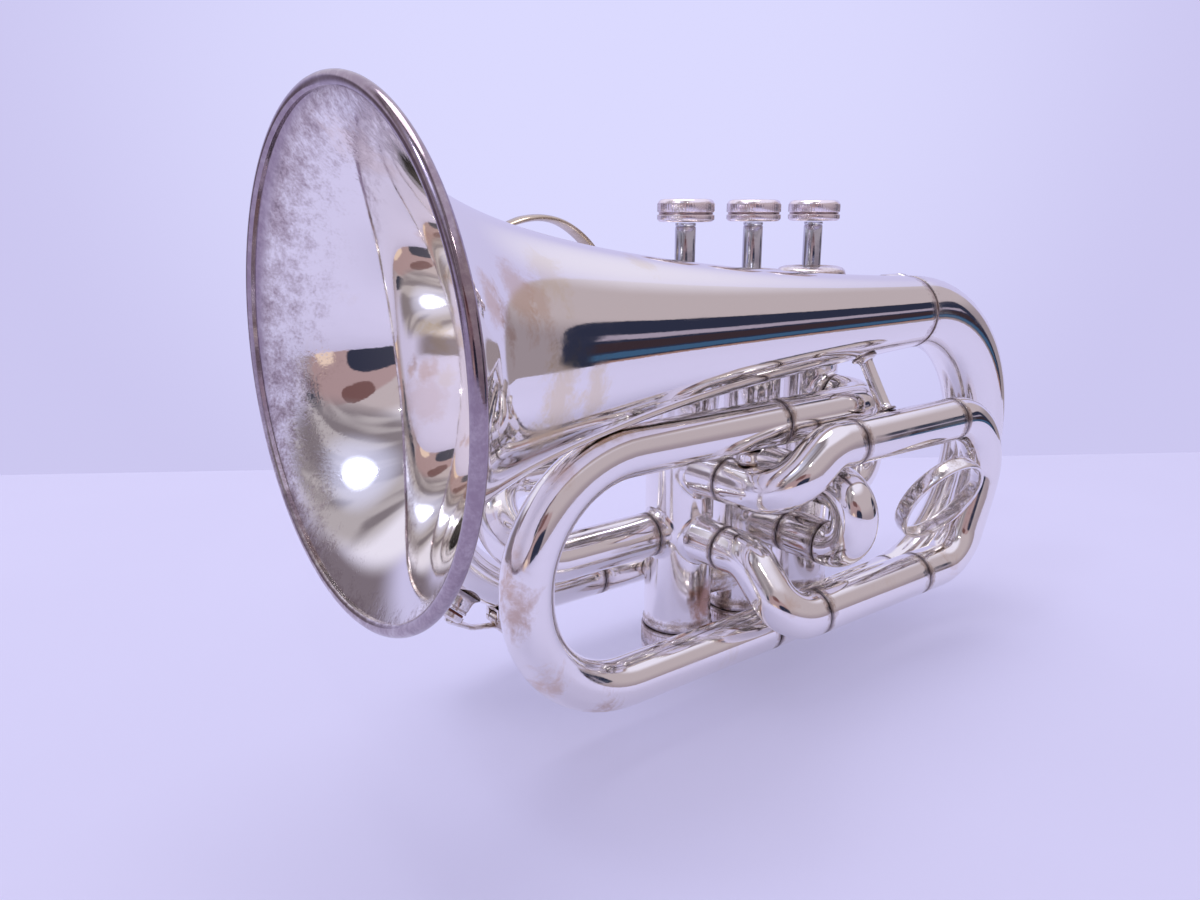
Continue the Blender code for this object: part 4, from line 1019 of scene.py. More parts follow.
@dataclass
class ValveSet:
    """One valve: casing with its ports, caps, stem and button."""

    number: int
    cap_skirt_r: float = 10.4
    cap_r: float = 11.0
    top_cap_z: float = 116.0
    top_cap_h: float = 7.0
    foot_cap_h: float = 9.6
    cap_hole_r: float = 3.5
    button_r: float = 7.9
    button_h: float = 6.2
    button_top_z: float = 136.0
    stem_r: float = 2.9
    piston_r: float = 8.45
    disc_z: tuple[float, float] = (110.1, 111.8)
    fillet: float = 1.7
    offset_fillet: float = 0.9
    clean_end: float = 2.0
    knurled_sides: int = 180
    tooth: float = 0.10

    @property
    def base(self) -> Vector:
        """The foot of the valve's axis."""
        return Vector((VALVES.x(self.number), 0.0, 0.0))

    def build(self) -> None:
        """Build the valve's pieces."""
        self.casing()
        self.top_cap()
        self.bottom_cap()
        self.stem()
        self.button()

    def ports(self) -> list[tuple[Vector, float, float, float]]:
        """Return direction, height, reach and side offset of each stub."""
        near, front, back = Vector((0, -1, 0)), Vector((-1, 0, 0)), Vector((1, 0, 0))
        high, low = VALVES.port_up[self.number - 1], VALVES.port_low[self.number - 1]
        if self.number == 1:
            return [(near, VALVES.top_leg_z, VALVES.short_reach, 0.0),
                    (back, high, VALVES.first_reach, VALVES.first_y),
                    (back, low, VALVES.first_reach, VALVES.first_y)]
        ports = [(near, high, VALVES.port_reach, 0.0), (near, low, VALVES.port_reach, 0.0)]
        if self.number == 3:
            ports.append((front, VALVES.entry_z, VALVES.short_reach, 0.0))
        return ports

    def casing(self) -> None:
        """The casing with its stubs, each blended into the wall by a fillet."""
        form = Form(96)
        low, top, r = VALVES.low_z, VALVES.top_z, VALVES.casing_r
        seam = self.foot_cap_h + 0.5
        ring = 0.4
        outline = [(low, VALVES.bore_r), (low, r, 1.0), (seam, r, 1.0), (seam + 0.1, r + ring, 1.0),
                   (seam + 1.5, r + ring, 0.5), (seam + 2.0, r, 0.8), (seam + 4.0, r, 0.2)]
        outline += [(z, r) for z in range(16, 102, 4)]
        outline += [(103.0, r, 0.2), (105.0, r, 0.8), (105.4, r + ring, 0.5),
                    (108.4, r + ring, 0.9), (108.6, r, 1.0), (top, r, 1.0), (top, VALVES.bore_r)]
        form.turned(self.base, UP, outline)
        form.sides = TUBING.sides
        for way, height, reach, offset in self.ports():
            self.stub(form, way, self.base + Vector((0.0, offset, height)), reach, offset)
        form.publish(f"casing_{self.number}", CASING_PLATE, "frame",
                     [f"valve_casing_{self.number}"])

    def saddle(self, form: Form, root: Vector, way: Vector, radius: float, rise: float,
               offset: float, weight: float) -> list[bmesh.types.BMVert]:
        """Add a ring that lies on the casing's round wall, lifted off it by a rise.

        Args:
            form: The mesh in the making.
            root: The stub's place on the casing's axis.
            way: The stub's direction.
            radius: The ring's radius about the stub.
            rise: How far it stands off the wall.
            offset: How far the stub lies beside the casing's axis.
            weight: Tarnish weight of its vertices.

        Returns:
            The ring's vertices.
        """
        across = UP.cross(way)
        made = []
        for k in range(form.sides):
            turn = 2.0 * math.pi * k / form.sides
            sideways = radius * math.cos(turn)
            from_axis = abs(sideways * across.y + offset) if offset else abs(sideways)
            wall = math.sqrt(max(0.0, VALVES.casing_r ** 2 - from_axis ** 2))
            made.append(form.point(root + way * (wall + rise) + across * sideways
                                   + UP * (radius * math.sin(turn)), weight))
        return made

    def stub(self, form: Form, way: Vector, root: Vector, reach: float, offset: float) -> None:
        """Add one port stub with its fillet, lip and bore.

        Args:
            form: The mesh in the making.
            way: The stub's direction.
            root: Its place on the casing's axis.
            reach: Its end's distance from there.
            offset: How far it lies beside the casing's axis.
        """
        rings = [self.saddle(form, root, way, TUBING.outer + spread, rise, offset, 0.0)
                 for spread, rise in fillet_steps(self.offset_fillet if offset else self.fillet)]
        across = UP.cross(way)
        end = Way(root + way * reach, across, UP, way, reach)
        rings.append(form.ring(root + way * (reach - self.clean_end), across, UP, TUBING.outer))
        rings += form.lip(end, TUBING.outer, TUBING.lip, End.FINISH)
        rings += [form.ring(place, across, UP, TUBING.bore, 1.0)
                  for place in (end.point, root + way * VALVES.bore_r)]
        form.skin(rings)

    def top_cap(self) -> None:
        """The knurled top cap."""
        z, r = self.top_cap_z, self.cap_r
        low = z - self.top_cap_h
        form = Form(self.knurled_sides)
        form.turned(self.base, UP, [
            (low, self.cap_skirt_r, 1.0), (low, r - 0.35, 1.0), (low + 0.2, r - 0.05, 0.9),
            (low + 0.9, r, 0.4), (low + 1.1, r - 0.3, 0.9), (low + 1.4, r - 0.1, 0.5, self.tooth),
            (z - 2.6, r - 0.1, 0.5, self.tooth), (z - 2.4, r - 0.35, 0.9), (z - 2.1, r - 0.3, 0.5),
            (z - 1.3, r - 0.5, 0.3), (z - 0.6, r - 1.2, 0.2), (z - 0.1, r - 2.6, 0.2),
            (z, r - 4.0, 0.3), (z, self.cap_hole_r + 0.4, 0.8), (z - 0.3, self.cap_hole_r, 1.0),
            (VALVES.top_z + 0.3, self.cap_hole_r, 1.0),
            (VALVES.top_z + 0.3, self.cap_skirt_r, 1.0)])
        form.publish(f"top_cap_{self.number}.knurled", CAP_PLATE, "frame",
                     [f"top_cap_{self.number}"], sharp=60.0)

    def bottom_cap(self) -> None:
        """The knurled bottom cap with a turned foot."""
        r = self.cap_r
        form = Form(self.knurled_sides)
        h = self.foot_cap_h
        form.turned(self.base, UP, [
            (h, self.cap_skirt_r, 1.0), (h, r - 0.35, 1.0), (h - 0.25, r - 0.05, 0.9),
            (h - 1.0, r, 0.4), (h - 1.2, r - 0.3, 0.9), (h - 1.5, r - 0.1, 0.5, self.tooth),
            (3.6, r - 0.1, 0.5, self.tooth), (3.3, r - 0.35, 0.9), (3.0, r - 0.1, 0.4),
            (1.6, r - 0.15, 0.3), (0.7, r - 0.6, 0.3), (0.15, r - 1.3, 0.5), (0.0, r - 2.2, 0.8),
            (0.0, 5.0, 0.6), (0.25, 4.4, 0.8), (0.35, 2.0, 0.5), (0.35, 0.0, 0.5),
            (2.4, 0.0, 1.0), (2.4, self.cap_skirt_r, 1.0)])
        form.publish(f"bottom_cap_{self.number}.knurled", CAP_PLATE, "frame",
                     [f"bottom_cap_{self.number}"], sharp=60.0)

    def stem(self) -> None:
        """The stem with its disc under the top cap."""
        low, high = self.disc_z
        top = self.button_top_z - self.button_h - TUBING.gap
        form = Form(64)
        form.turned(self.base, UP, [
            (low, 0.0), (low, self.piston_r - 0.3), (low + 0.3, self.piston_r),
            (high - 0.3, self.piston_r), (high, self.piston_r - 0.3), (high, self.stem_r + 0.4),
            (high + 0.4, self.stem_r), (high + 6.0, self.stem_r), (top - 1.2, self.stem_r),
            (top - 0.9, self.stem_r - 0.25), (top - 0.6, self.stem_r), (top, self.stem_r),
            (top, 0.0)])
        form.publish(f"stem_{self.number}.polished", STEM_STEEL, f"valve_{self.number}",
                     [f"stem_{self.number}"])

    def button(self) -> None:
        """The finger button: knurled rim, a groove round it and a dished top."""
        low, r, h = self.button_top_z - self.button_h, self.button_r, self.button_h
        form = Form(self.knurled_sides)
        t = self.tooth * 0.7
        form.turned(self.base + Vector((0.0, 0.0, low)), UP, [
            (0.0, 0.0), (0.0, self.stem_r + 0.2, 1.0), (0.0, r - 1.2, 0.3), (0.12, r - 0.55, 0.4),
            (0.5, r - 0.12, 0.3), (0.8, r - 0.05, 0.2, t), (1.75, r - 0.05, 0.2, t),
            (1.9, r - 0.12, 0.6), (2.05, r - 0.42, 1.0), (2.5, r - 0.42, 1.0),
            (2.65, r - 0.12, 0.6), (2.8, r - 0.05, 0.2, t), (h - 1.3, r - 0.05, 0.2, t),
            (h - 1.1, r - 0.12, 0.3), (h - 0.55, r - 0.40, 0.1), (h - 0.15, r - 0.95, 0.1),
            (h, r - 1.7, 0.1), (h - 0.05, r - 2.4, 0.1), (h - 0.3, 3.6, 0.1), (h - 0.42, 0.0, 0.1)])
        form.publish(f"button_{self.number}.knurled", BUTTON_PLATE, f"valve_{self.number}",
                     [f"button_{self.number}"], sharp=60.0)


@dataclass
class ValveLinks:
    """The two short tubes between neighbouring casings."""

    link_32_z: float = 22.5
    link_21_z: float = 40.0
    fillet: float = 1.3
    dirt: float = 0.1

    def build(self) -> None:
        """Build both links."""
        for name, start, end, z in (("valve_link_32", 3, 2, self.link_32_z),
                                    ("valve_link_21", 2, 1, self.link_21_z)):
            form = Form()
            first, last = ValveSet(start), ValveSet(end)
            lift = Vector((0.0, 0.0, z))
            rings = [(TUBING.outer + spread, rise) for spread, rise in fillet_steps(self.fillet)]
            near = [first.saddle(form, first.base + lift, REARWARD, size, rise, 0.0, self.dirt)
                    for size, rise in rings]
            far = [self.facing(form, last, lift, size, rise) for size, rise in reversed(rings)]
            form.skin(near + far)
            form.publish(f"{name}.blended", CASING_PLATE, "frame", [name])

    def facing(self, form: Form, valve: ValveSet, lift: Vector, size: float,
               rise: float) -> list[bmesh.types.BMVert]:
        """Add a ring on the next casing's wall, its vertices in step with the first's."""
        ring = valve.saddle(form, valve.base + lift, Vector((-1.0, 0.0, 0.0)), size, rise, 0.0,
                            self.dirt)
        count = form.sides
        return [ring[(count // 2 - k) % count] for k in range(count)]


@dataclass
class ThirdSlide:
    """Knuckles, sleeves, slide and finger ring of the third valve."""

    y: float = -43.0
    up_z: float = 71.5
    low_z: float = 24.6
    up_x: tuple[float, float] = (-4.0, 43.5)
    low_x: tuple[float, float] = (-15.0, 31.0)
    bow_reach: tuple[float, float, float] = (25.5, 17.5, 9.0)
    leg: float = 34.0
    ring_r: float = 15.0
    ring_w: float = 5.0
    ring_t: float = 1.5
    ring_axis: Point = (-0.10, -0.88, -0.46)
    ring_centre: Point = (38.6, -45.0, 48.05)
    foot_deg: float = 16.0

    def build(self) -> None:
        """Build the knuckles, the sleeves, the slide and its ring."""
        x, y = VALVES.x(3), self.y
        near = -VALVES.port_reach - TUBING.gap
        high, low = VALVES.port_up[2], VALVES.port_low[2]
        up_a, up_b = self.up_x
        low_a, low_b = self.low_x
        upper = rounded([(x, near, high), (x, y + 2.0, high), (x + 14.0, y, self.up_z),
                         (up_a, y, self.up_z)], [11.0, 9.0])
        lower = rounded([(x, near, low), (x, near - 9.0, low), (x + 1.0, y, self.low_z),
                         (low_a, y, self.low_z)], [9.0, 9.0])
        upper_sleeve = straight((up_a + TUBING.gap, y, self.up_z), (up_b, y, self.up_z))
        lower_sleeve = straight((low_a + TUBING.gap, y, self.low_z), (low_b, y, self.low_z))
        for name, route in (("third_upper_knuckle", upper), ("third_lower_knuckle", lower),
                            ("third_upper_sleeve", upper_sleeve),
                            ("third_lower_sleeve", lower_sleeve)):
            lay_tube(route, f"{name}.plated", name)
        self.slide()
        self.finger_ring()

    def bow(self) -> list[Vector]:
        """Return the bow's middle line."""
        high, middle, low = (self.up_x[1] + reach for reach in self.bow_reach)
        return rounded([(self.up_x[1] + TUBING.gap, self.y, self.up_z), (high, self.y, self.up_z),
                        (middle, self.y, (self.up_z + self.low_z) / 2.0 - 2.0),
                        (low, self.y, self.low_z),
                        (self.low_x[1] + TUBING.gap, self.y, self.low_z)], [17.0, 45.0, 15.0])

    def slide(self) -> None:
        """The slide with its two legs."""
        back = TUBING.gap - self.leg
        Form().slide(Vector((self.up_x[1] + back, self.y, self.up_z)), self.bow(),
                     Vector((self.low_x[1] + back, self.y, self.low_z))).publish(
            "third_slide_bow", TUBE_PLATE, "slide_3", ["third_slide"])

    def finger_ring(self) -> None:
        """The ring with softened edges, on a foot that spreads onto the bow."""
        axis = Vector(self.ring_axis).normalized()
        centre = Vector(self.ring_centre)
        r, t, w = self.ring_r, self.ring_t, self.ring_w
        inner = r - t
        form = Form(96)
        outline = []
        for k in range(33):
            turn = 2.0 * math.pi * k / 32.0
            across = math.copysign(abs(math.cos(turn)) ** 0.55, math.cos(turn)) * w / 2.0
            radial = math.copysign(abs(math.sin(turn)) ** 0.75, math.sin(turn)) * t / 2.0
            outline.append((across, (inner + r) / 2.0 + radial, 0.25))
        form.turned(centre, axis, outline[:-1])
        level = (REARWARD - axis * axis.x).normalized()
        rise = level.cross(axis)
        turn = math.radians(self.foot_deg)
        root = centre + (level * math.cos(turn) + rise * math.sin(turn)) * (inner + r) / 2.0
        middle_x = self.up_x[1] + self.bow_reach[1]
        foot = Vector((middle_x + 0.5, self.y, root.z - 1.0))
        way = (foot - root).normalized()
        end = (foot - root).length - TUBING.outer + 0.6
        form.sides = 40
        steps = [(-0.3, 1.6), (0.4, 2.3), (1.2, 2.05), (2.4, 2.1), (end - 2.2, 2.4),
                 (end - 1.2, 2.8), (end - 0.5, 3.4), (end, 4.1), (end + 0.25, 4.3)]
        places = ways_along([root + way * along for along, _ in steps])
        rings = [form.around(place, radius, 0.6) for place, (_, radius) in zip(places, steps)]
        form.skin([[form.point(root - way * 0.3)], *rings, [form.point(places[-1].point)]])
        form.publish("finger_ring.polished", TUBE_PLATE, "slide_3", ["finger_ring"])


@dataclass
class SecondSlide:
    """Sleeves and slide of the second valve."""

    sleeve: float = 13.4
    leg: float = 13.0
    run_out: float = 0.4

    def build(self) -> None:
        """Build the two sleeves and the slide."""
        far = -VALVES.port_reach - TUBING.gap
        near = far - self.sleeve
        high, low = VALVES.port_up[1], VALVES.port_low[1]
        for name, z in (("second_upper_sleeve", high), ("second_lower_sleeve", low)):
            lay_tube(straight((0.0, far, z), (0.0, near, z)), f"{name}.plated", name)
        start = near - TUBING.gap
        route = bow_between((0.0, start, high), (0.0, start, low), 1,
                            start - self.run_out - (high - low) / 2.0)
        Form().slide(Vector((0.0, start + self.leg, high)), route,
                     Vector((0.0, start + self.leg, low))).publish(
            "second_slide_bow", TUBE_PLATE, "slide_2", ["second_slide"])


@dataclass
class FirstSlide:
    """Sleeves and slide of the first valve."""

    sleeve: float = 13.9
    leg: float = 13.2
    run_out: float = 0.4

    def build(self) -> None:
        """Build the two sleeves and the slide."""
        y = VALVES.first_y
        start = VALVES.x(1) + VALVES.first_reach + TUBING.gap
        end = start + self.sleeve
        high, low = VALVES.port_up[0], VALVES.port_low[0]
        for name, z in (("first_upper_sleeve", high), ("first_lower_sleeve", low)):
            lay_tube(straight((start, y, z), (end, y, z)), f"{name}.plated", name)
        first = end + TUBING.gap
        route = bow_between((first, y, high), (first, y, low), 0,
                            first + self.run_out + (high - low) / 2.0)
        Form().slide(Vector((first - self.leg, y, high)), route,
                     Vector((first - self.leg, y, low))).publish(
            "first_slide_bow", TUBE_PLATE, "slide_1", ["first_slide"])


@dataclass
class LeadSide:
    """Receiver, leadpipe, tuning slide, return tube, rear bow and entry bow."""

    y: float = 20.0
    lead_z: float = 102.0
    lead_r: float = 6.0
    return_z: float = 23.0
    forward_z: float = 60.0
    tuning_x: float = -59.5
    sleeve_x: tuple[float, float] = (-44.0, -8.0)
    leg: float = 30.0
    rear_x: float = 61.5
    entry_x: float = -70.0
    entry_ring_x: float = -50.0
    receiver_x: tuple[float, float] = (60.0, 104.0)
    receiver_r: float = 6.8
    collar_r: float = 7.6
    mouth_bore_r: float = 5.0

    def build(self) -> None:
        """Build the far side's pieces."""
        front, rear = self.sleeve_x
        y = self.y
        for name, z in (("tuning_upper_sleeve", self.lead_z),
                        ("tuning_lower_sleeve", self.return_z)):
            lay_tube(straight((front, y, z), (rear, y, z)), f"{name}.plated", name)
        start = rear + TUBING.gap
        pipe = straight((start, y, self.lead_z), (self.receiver_x[0] - TUBING.gap, y, self.lead_z))
        Form().tube(pipe, self.lead_r, self.mouth_bore_r).publish(
            "leadpipe.plated", TUBE_PLATE, "frame", ["leadpipe"])
        lay_tube(straight((start, y, self.return_z), (self.rear_x - TUBING.gap, y, self.return_z)),
                 "return_tube.plated", "return_tube")
        self.receiver()
        self.bows()
        self.tuning_bow()

    def receiver(self) -> None:
        """The mouthpiece receiver with its turned collar."""
        length = self.receiver_x[1] - self.receiver_x[0]
        r, c = self.receiver_r, self.collar_r
        bore = self.mouth_bore_r
        form = Form(96)
        form.turned((self.receiver_x[0], self.y, self.lead_z), REARWARD, [
            (0.0, bore, 1.0), (0.0, r - 0.6, 1.0), (0.3, r - 0.15, 1.0), (1.0, r, 0.5),
            (1.6, r, 0.3), (1.8, r - 0.25, 0.9), (2.2, r - 0.25, 0.9), (2.4, r, 0.3),
            (length - 14.0, r + 0.25, 0.1), (length - 12.2, r + 0.35, 0.6),
            (length - 11.6, r + 0.6, 0.8),
            (length - 11.0, c - 0.2, 0.5), (length - 10.2, c, 0.2), (length - 4.0, c, 0.1),
            (length - 3.7, c - 0.3, 0.9), (length - 3.2, c - 0.3, 0.9), (length - 2.9, c, 0.3),
            (length - 0.8, c, 0.2), (length - 0.2, c - 0.3, 0.3), (length, c - 0.8, 0.4),
            (length, bore + 0.8, 0.4), (length - 0.4, bore + 0.4, 0.5)])
        form.publish("receiver.turned", TUBE_PLATE, "frame", ["mouthpiece_receiver"])

    def bows(self) -> None:
        """The rear bow with the tube along to the front, and the entry bow."""
        y, gap = self.y, TUBING.gap
        rear = bow_between((self.rear_x, y, self.return_z), (self.entry_ring_x, y, self.forward_z),
                           0, self.rear_x + (self.forward_z - self.return_z) / 2.0)
        radius = math.hypot(y, self.forward_z - VALVES.entry_z) / 2.0
        front = bow_between((VALVES.x(3) - VALVES.short_reach - gap, 0.0, VALVES.entry_z),
                            (self.entry_ring_x - gap, y, self.forward_z), 0,
                            self.entry_x - radius)
        for name, route in (("rear_bow", rear), ("entry_bow", front)):
            lay_tube(route, f"{name}.plated", name)

    def tuning_bow(self) -> None:
        """The main tuning slide."""
        front, y = self.sleeve_x[0] - TUBING.gap, self.y
        route = bow_between((front, y, self.lead_z), (front, y, self.return_z), 0,
                            self.tuning_x - (self.lead_z - self.return_z) / 2.0)
        Form().slide(Vector((front + self.leg, y, self.lead_z)), route,
                     Vector((front + self.leg, y, self.return_z))).publish(
            "tuning_slide_bow", TUBE_PLATE, "tuning", ["tuning_slide"])


@dataclass
class WaterKey:
    """Nipple, saddle, lever and cork on the tuning bow."""

    side: LeadSide
    nipple_deg: float = 229.0
    pivot_deg: float = 246.0
    nipple_r: float = 3.4
    nipple_h: float = 4.8
    nipple_bore_r: float = 1.5
    cork_r: float = 2.9
    cork_h: float = 1.6
    pivot_rise: float = 3.2
    width: float = 4.0
    ear: float = 1.4
    ear_r: float = 1.75
    pin_r: float = 0.8
    barrel_r: float = 1.9

    def on_bow(self, radius: float, deg: float) -> Vector:
        """Return a place in the tuning bow's plane."""
        turn = math.radians(deg)
        middle = (self.side.lead_z + self.side.return_z) / 2.0
        return Vector((self.side.tuning_x + radius * math.cos(turn), self.side.y,
                       middle + radius * math.sin(turn)))

    def build(self) -> None:
        """Build the nipple, saddle, cork and lever."""
        radius = (self.side.lead_z - self.side.return_z) / 2.0 + TUBING.outer
        away = (self.on_bow(1.0, self.nipple_deg) - self.on_bow(0.0, self.nipple_deg)).normalized()
        foot = self.on_bow(radius + 0.1, self.nipple_deg)
        h, r, b = self.nipple_h + 0.2, self.nipple_r, self.nipple_bore_r
        form = Form(56)
        form.turned(foot, away, [
            (-0.5, b), (-0.5, r + 1.3, 1.0), (0.1, r + 0.8, 1.0), (0.5, r + 0.3, 0.9),
            (1.2, r, 0.5), (h - 1.2, r, 0.2), (h - 1.0, r - 0.2, 0.8), (h - 0.7, r - 0.2, 0.8),
            (h - 0.5, r, 0.3), (h - 0.1, r, 0.3), (h, r - 0.2, 0.6), (h, b + 0.3, 0.9),
            (h - 0.2, b, 1.0)])
        form.publish("water_nipple", TUBE_PLATE, "tuning", ["water_key_nipple"])
        pad = foot + away * (self.nipple_h + 0.5)
        form = Form(48)
        form.turned(pad, away, [(0.0, 0.0), (0.0, self.cork_r - 0.25), (0.2, self.cork_r),
                                (self.cork_h - 0.1, self.cork_r), (self.cork_h, self.cork_r - 0.1),
                                (self.cork_h, 0.0)])
        form.publish("water_cork", CORK, "water_key", ["water_key_cork"])
        self.saddle(radius)
        self.lever(radius, pad, away)

    def across(self) -> tuple[Vector, Vector, Vector]:
        """Return the pivot's along, sideways and outward directions."""
        out = (self.on_bow(1.0, self.pivot_deg) - self.on_bow(0.0, self.pivot_deg)).normalized()
        return LEADWARD.cross(out), LEADWARD, out

    def saddle(self, radius: float) -> None:
        """The saddle: a foot on the bow and two rounded ears with the pin's ends."""
        pivot = self.on_bow(radius + self.pivot_rise, self.pivot_deg)
        along, sideways, out = self.across()
        form = Form(40)
        half = self.width / 2.0
        for sign in (-1.0, 1.0):
            low, high = half + TUBING.gap, half + TUBING.gap + self.ear
            profile = []
            for k in range(21):
                turn = math.radians(-10.0 + 10.0 * k)
                profile.append((self.ear_r * math.cos(turn), self.ear_r * math.sin(turn)))
            profile += [(-2.6, -2.2), (-3.4, -3.2), (3.4, -3.2), (2.6, -2.2)]
            loops = []
            for place, inset in ((low, 0.12), (low + 0.12, 0.0), (high - 0.25, 0.0), (high, 0.25)):
                scale = 1.0 - inset / self.ear_r
                loops.append([form.point(pivot + sideways * (sign * place) + along * (a * scale)
                                         + out * (o * scale), 0.5) for a, o in profile])
            form.capped(loops)
        foot = half + TUBING.gap + self.ear
        corners = [(-3.4, -3.3), (-2.6, -2.35), (2.6, -2.35), (3.4, -3.3)]
        loops = [[form.point(pivot + sideways * y + along * a + out * o, 0.8) for a, o in corners]
                 for y in (-foot, -half - TUBING.gap, half + TUBING.gap, foot)]
        form.capped(loops)
        form.publish("water_saddle", TUBE_PLATE, "tuning", ["water_key_saddle"])

    def lever(self, radius: float, pad: Vector, away: Vector) -> None:
        """The lever: a barrel on its pin and a bent strip from the cork's cup to the thumb."""
        pivot = self.on_bow(radius + self.pivot_rise, self.pivot_deg)
        _, sideways, out = self.across()
        form = Form(40)
        half = self.width / 2.0
        form.turned(pivot - sideways * half, sideways, [
            (0.0, 0.0), (0.0, self.barrel_r - 0.3, 0.8), (0.25, self.barrel_r, 0.5),
            (self.width - 0.25, self.barrel_r, 0.5), (self.width, self.barrel_r - 0.3, 0.8),
            (self.width, 0.0)])
        reach = half + TUBING.gap + self.ear + 0.25
        form.turned(pivot - sideways * reach, sideways, [
            (0.0, 0.0), (0.0, self.pin_r - 0.2, 0.8), (0.2, self.pin_r, 0.5),
            (2.0 * reach - 0.2, self.pin_r, 0.5), (2.0 * reach, self.pin_r - 0.2, 0.8),
            (2.0 * reach, 0.0)])
        cup = pad + away * (self.cork_h * 0.4)
        form.turned(cup, away, [
            (0.0, self.cork_r + 0.1, 0.8), (0.0, self.cork_r + 0.5, 0.6),
            (1.3, self.cork_r + 0.5, 0.4), (1.9, self.cork_r - 0.1, 0.4), (2.3, 1.0, 0.5),
            (2.3, 0.0, 0.5), (1.1, 0.0, 0.9), (1.1, self.cork_r + 0.1, 0.9)])
        tip = pad + away * (self.cork_h + TUBING.gap + 1.2)
        bend = self.on_bow(radius + 7.6, (self.nipple_deg + self.pivot_deg) / 2.0)
        tab = self.on_bow(radius + 9.0, self.pivot_deg + 9.0)
        route = rounded([tip, bend, pivot + out * 2.0, tab, tab + Vector((4.6, 0.0, -0.7))],
                        [5.0, 5.0, 5.0], 10.0)
        route = filled_in(route, 1.2)
        sizes = []
        for k in range(len(route)):
            share = k / (len(route) - 1)
            sizes.append(1.55 + 0.5 * math.cos(share * math.pi) ** 2 + 0.5 * share ** 3)
        form.rod(route, sizes, 0.42, 0.4)
        form.publish("water_lever", TUBE_PLATE, "water_key", ["water_key_lever"])


@dataclass
class Brace:
    """A turned post between two surfaces, spread at each end."""

    name: str
    start: Vector
    end: Vector
    radius: float
    flanges: tuple[float, float]

    def build(self) -> None:
        """Turn the post."""
        length = (self.end - self.start).length
        first, last = self.flanges
        r = self.radius
        run = min(1.9, length / 2.6)
        outline = [(-0.25, 0.0, 1.0), (-0.25, first + 0.1, 1.0), (0.15, first, 1.0)]
        turns = [math.radians(15.0 * k) for k in range(7)]
        neck = [((run - 0.3) * (1.0 - math.cos(turn)), 1.0 - math.sin(turn), 0.3 - 0.05 * k)
                for k, turn in enumerate(turns)]
        outline += [(0.3 + along, r + (first - 0.15 - r) * spread, dirt)
                    for along, spread, dirt in neck]
        outline += [(length - 0.3 - along, r + (last - 0.15 - r) * spread, dirt)
                    for along, spread, dirt in reversed(neck)]
        outline += [(length - 0.15, last, 1.0), (length + 0.25, last + 0.1, 1.0),
                    (length + 0.25, 0.0, 1.0)]
        Form(40).turned(self.start, self.end - self.start, outline).publish(
            f"{self.name}.turned", TUBE_PLATE, "frame", [self.name])


@dataclass
class Braces:
    """Every brace of the trumpet."""

    bell: BellBranch
    third: ThirdSlide
    side: LeadSide
    bell_brace_x: float = 16.0
    post_r: float = 2.2
    flange_r: float = 3.0

    def build(self) -> None:
        """Build the braces."""
        sleeve = Vector((self.bell_brace_x, self.third.y, self.third.up_z))
        top = self.bell.point_on_bell(self.bell_brace_x, (0.0, -0.45, -0.89))
        way = (top - sleeve).normalized()
        Brace("bell_slide_brace", top, sleeve + way * (TUBING.outer + TUBING.gap), 1.9,
              (3.6, 3.0)).build()
        x = VALVES.x(1)
        post = self.bell.point_on_bell(x, (0.0, 1.0, 0.0))
        wall = VALVES.casing_r + TUBING.gap
        both = (self.flange_r, self.flange_r)
        Brace("bell_post", Vector((x, -wall, post.z)), Vector((x, post.y, post.z)), self.post_r,
              both).build()
        y = self.bell.front_y + 1.0
        edge = TUBING.outer + TUBING.gap
        Brace("port_brace", Vector((VALVES.x(3), y, VALVES.top_leg_z - edge)),
              Vector((VALVES.x(3), y, VALVES.port_up[2] + edge)), 2.4, (3.4, 2.8)).build()
        for name, number, z, radius in (
                ("leadpipe_post_front", 3, self.side.lead_z, TUBING.outer),
                ("leadpipe_post_rear", 1, self.side.lead_z, self.side.lead_r),
                ("return_tube_post_front", 3, self.side.return_z, TUBING.outer),
                ("return_tube_post_rear", 1, self.side.return_z, TUBING.outer)):
            spot = VALVES.x(number)
            Brace(name, Vector((spot, wall, z)),
                  Vector((spot, self.side.y - radius - TUBING.gap, z)), self.post_r,
                  both).build()


@dataclass
class PinkyHook:
    """The little finger's hook on the upper tuning sleeve."""

    side: LeadSide
    flat: float = 3.5

    def build(self) -> None:
        """Sweep the hook and spread its foot on the sleeve."""
        y = self.side.y
        low = self.side.lead_z + TUBING.outer
        route = [(-40.0, low), (-40.1, low + 2.0), (-40.6, low + 5.3), (-42.4, low + 9.9),
                 (-45.8, low + 14.3), (-50.4, low + 18.3), (-56.0, low + 21.3),
                 (-62.0, low + 22.5), (-68.0, low + 22.1), (-73.0, low + 20.7)]
        smooth = self.eased([Vector((x, y, z)) for x, z in route])
        count = len(smooth)
        sizes = []
        for k in range(count):
            share = k / (count - 1)
            thinned = 0.22 * max(0.0, share - 0.9) * 10.0
            sizes.append(0.92 + 0.75 * math.exp(-share * 22.0) - thinned)
        form = Form(32).rod(smooth, sizes, self.flat, 0.15)
        form.publish("pinky_hook.polished", HOOK_PLATE, "frame", ["pinky_hook"])

    def eased(self, points: list[Vector], steps: int = 5) -> list[Vector]:
        """Return a smooth curve through the points."""
        result = []
        for k in range(len(points) - 1):
            before = points[max(0, k - 1)]
            first, second = points[k], points[k + 1]
            after = points[min(len(points) - 1, k + 2)]
            for j in range(steps):
                t = j / steps
                result.append(0.5 * ((2.0 * first) + (second - before) * t
                                     + (2.0 * before - 5.0 * first + 4.0 * second - after) * t * t
                                     + (3.0 * first - before - 3.0 * second + after) * t ** 3))
        return result + [points[-1]]


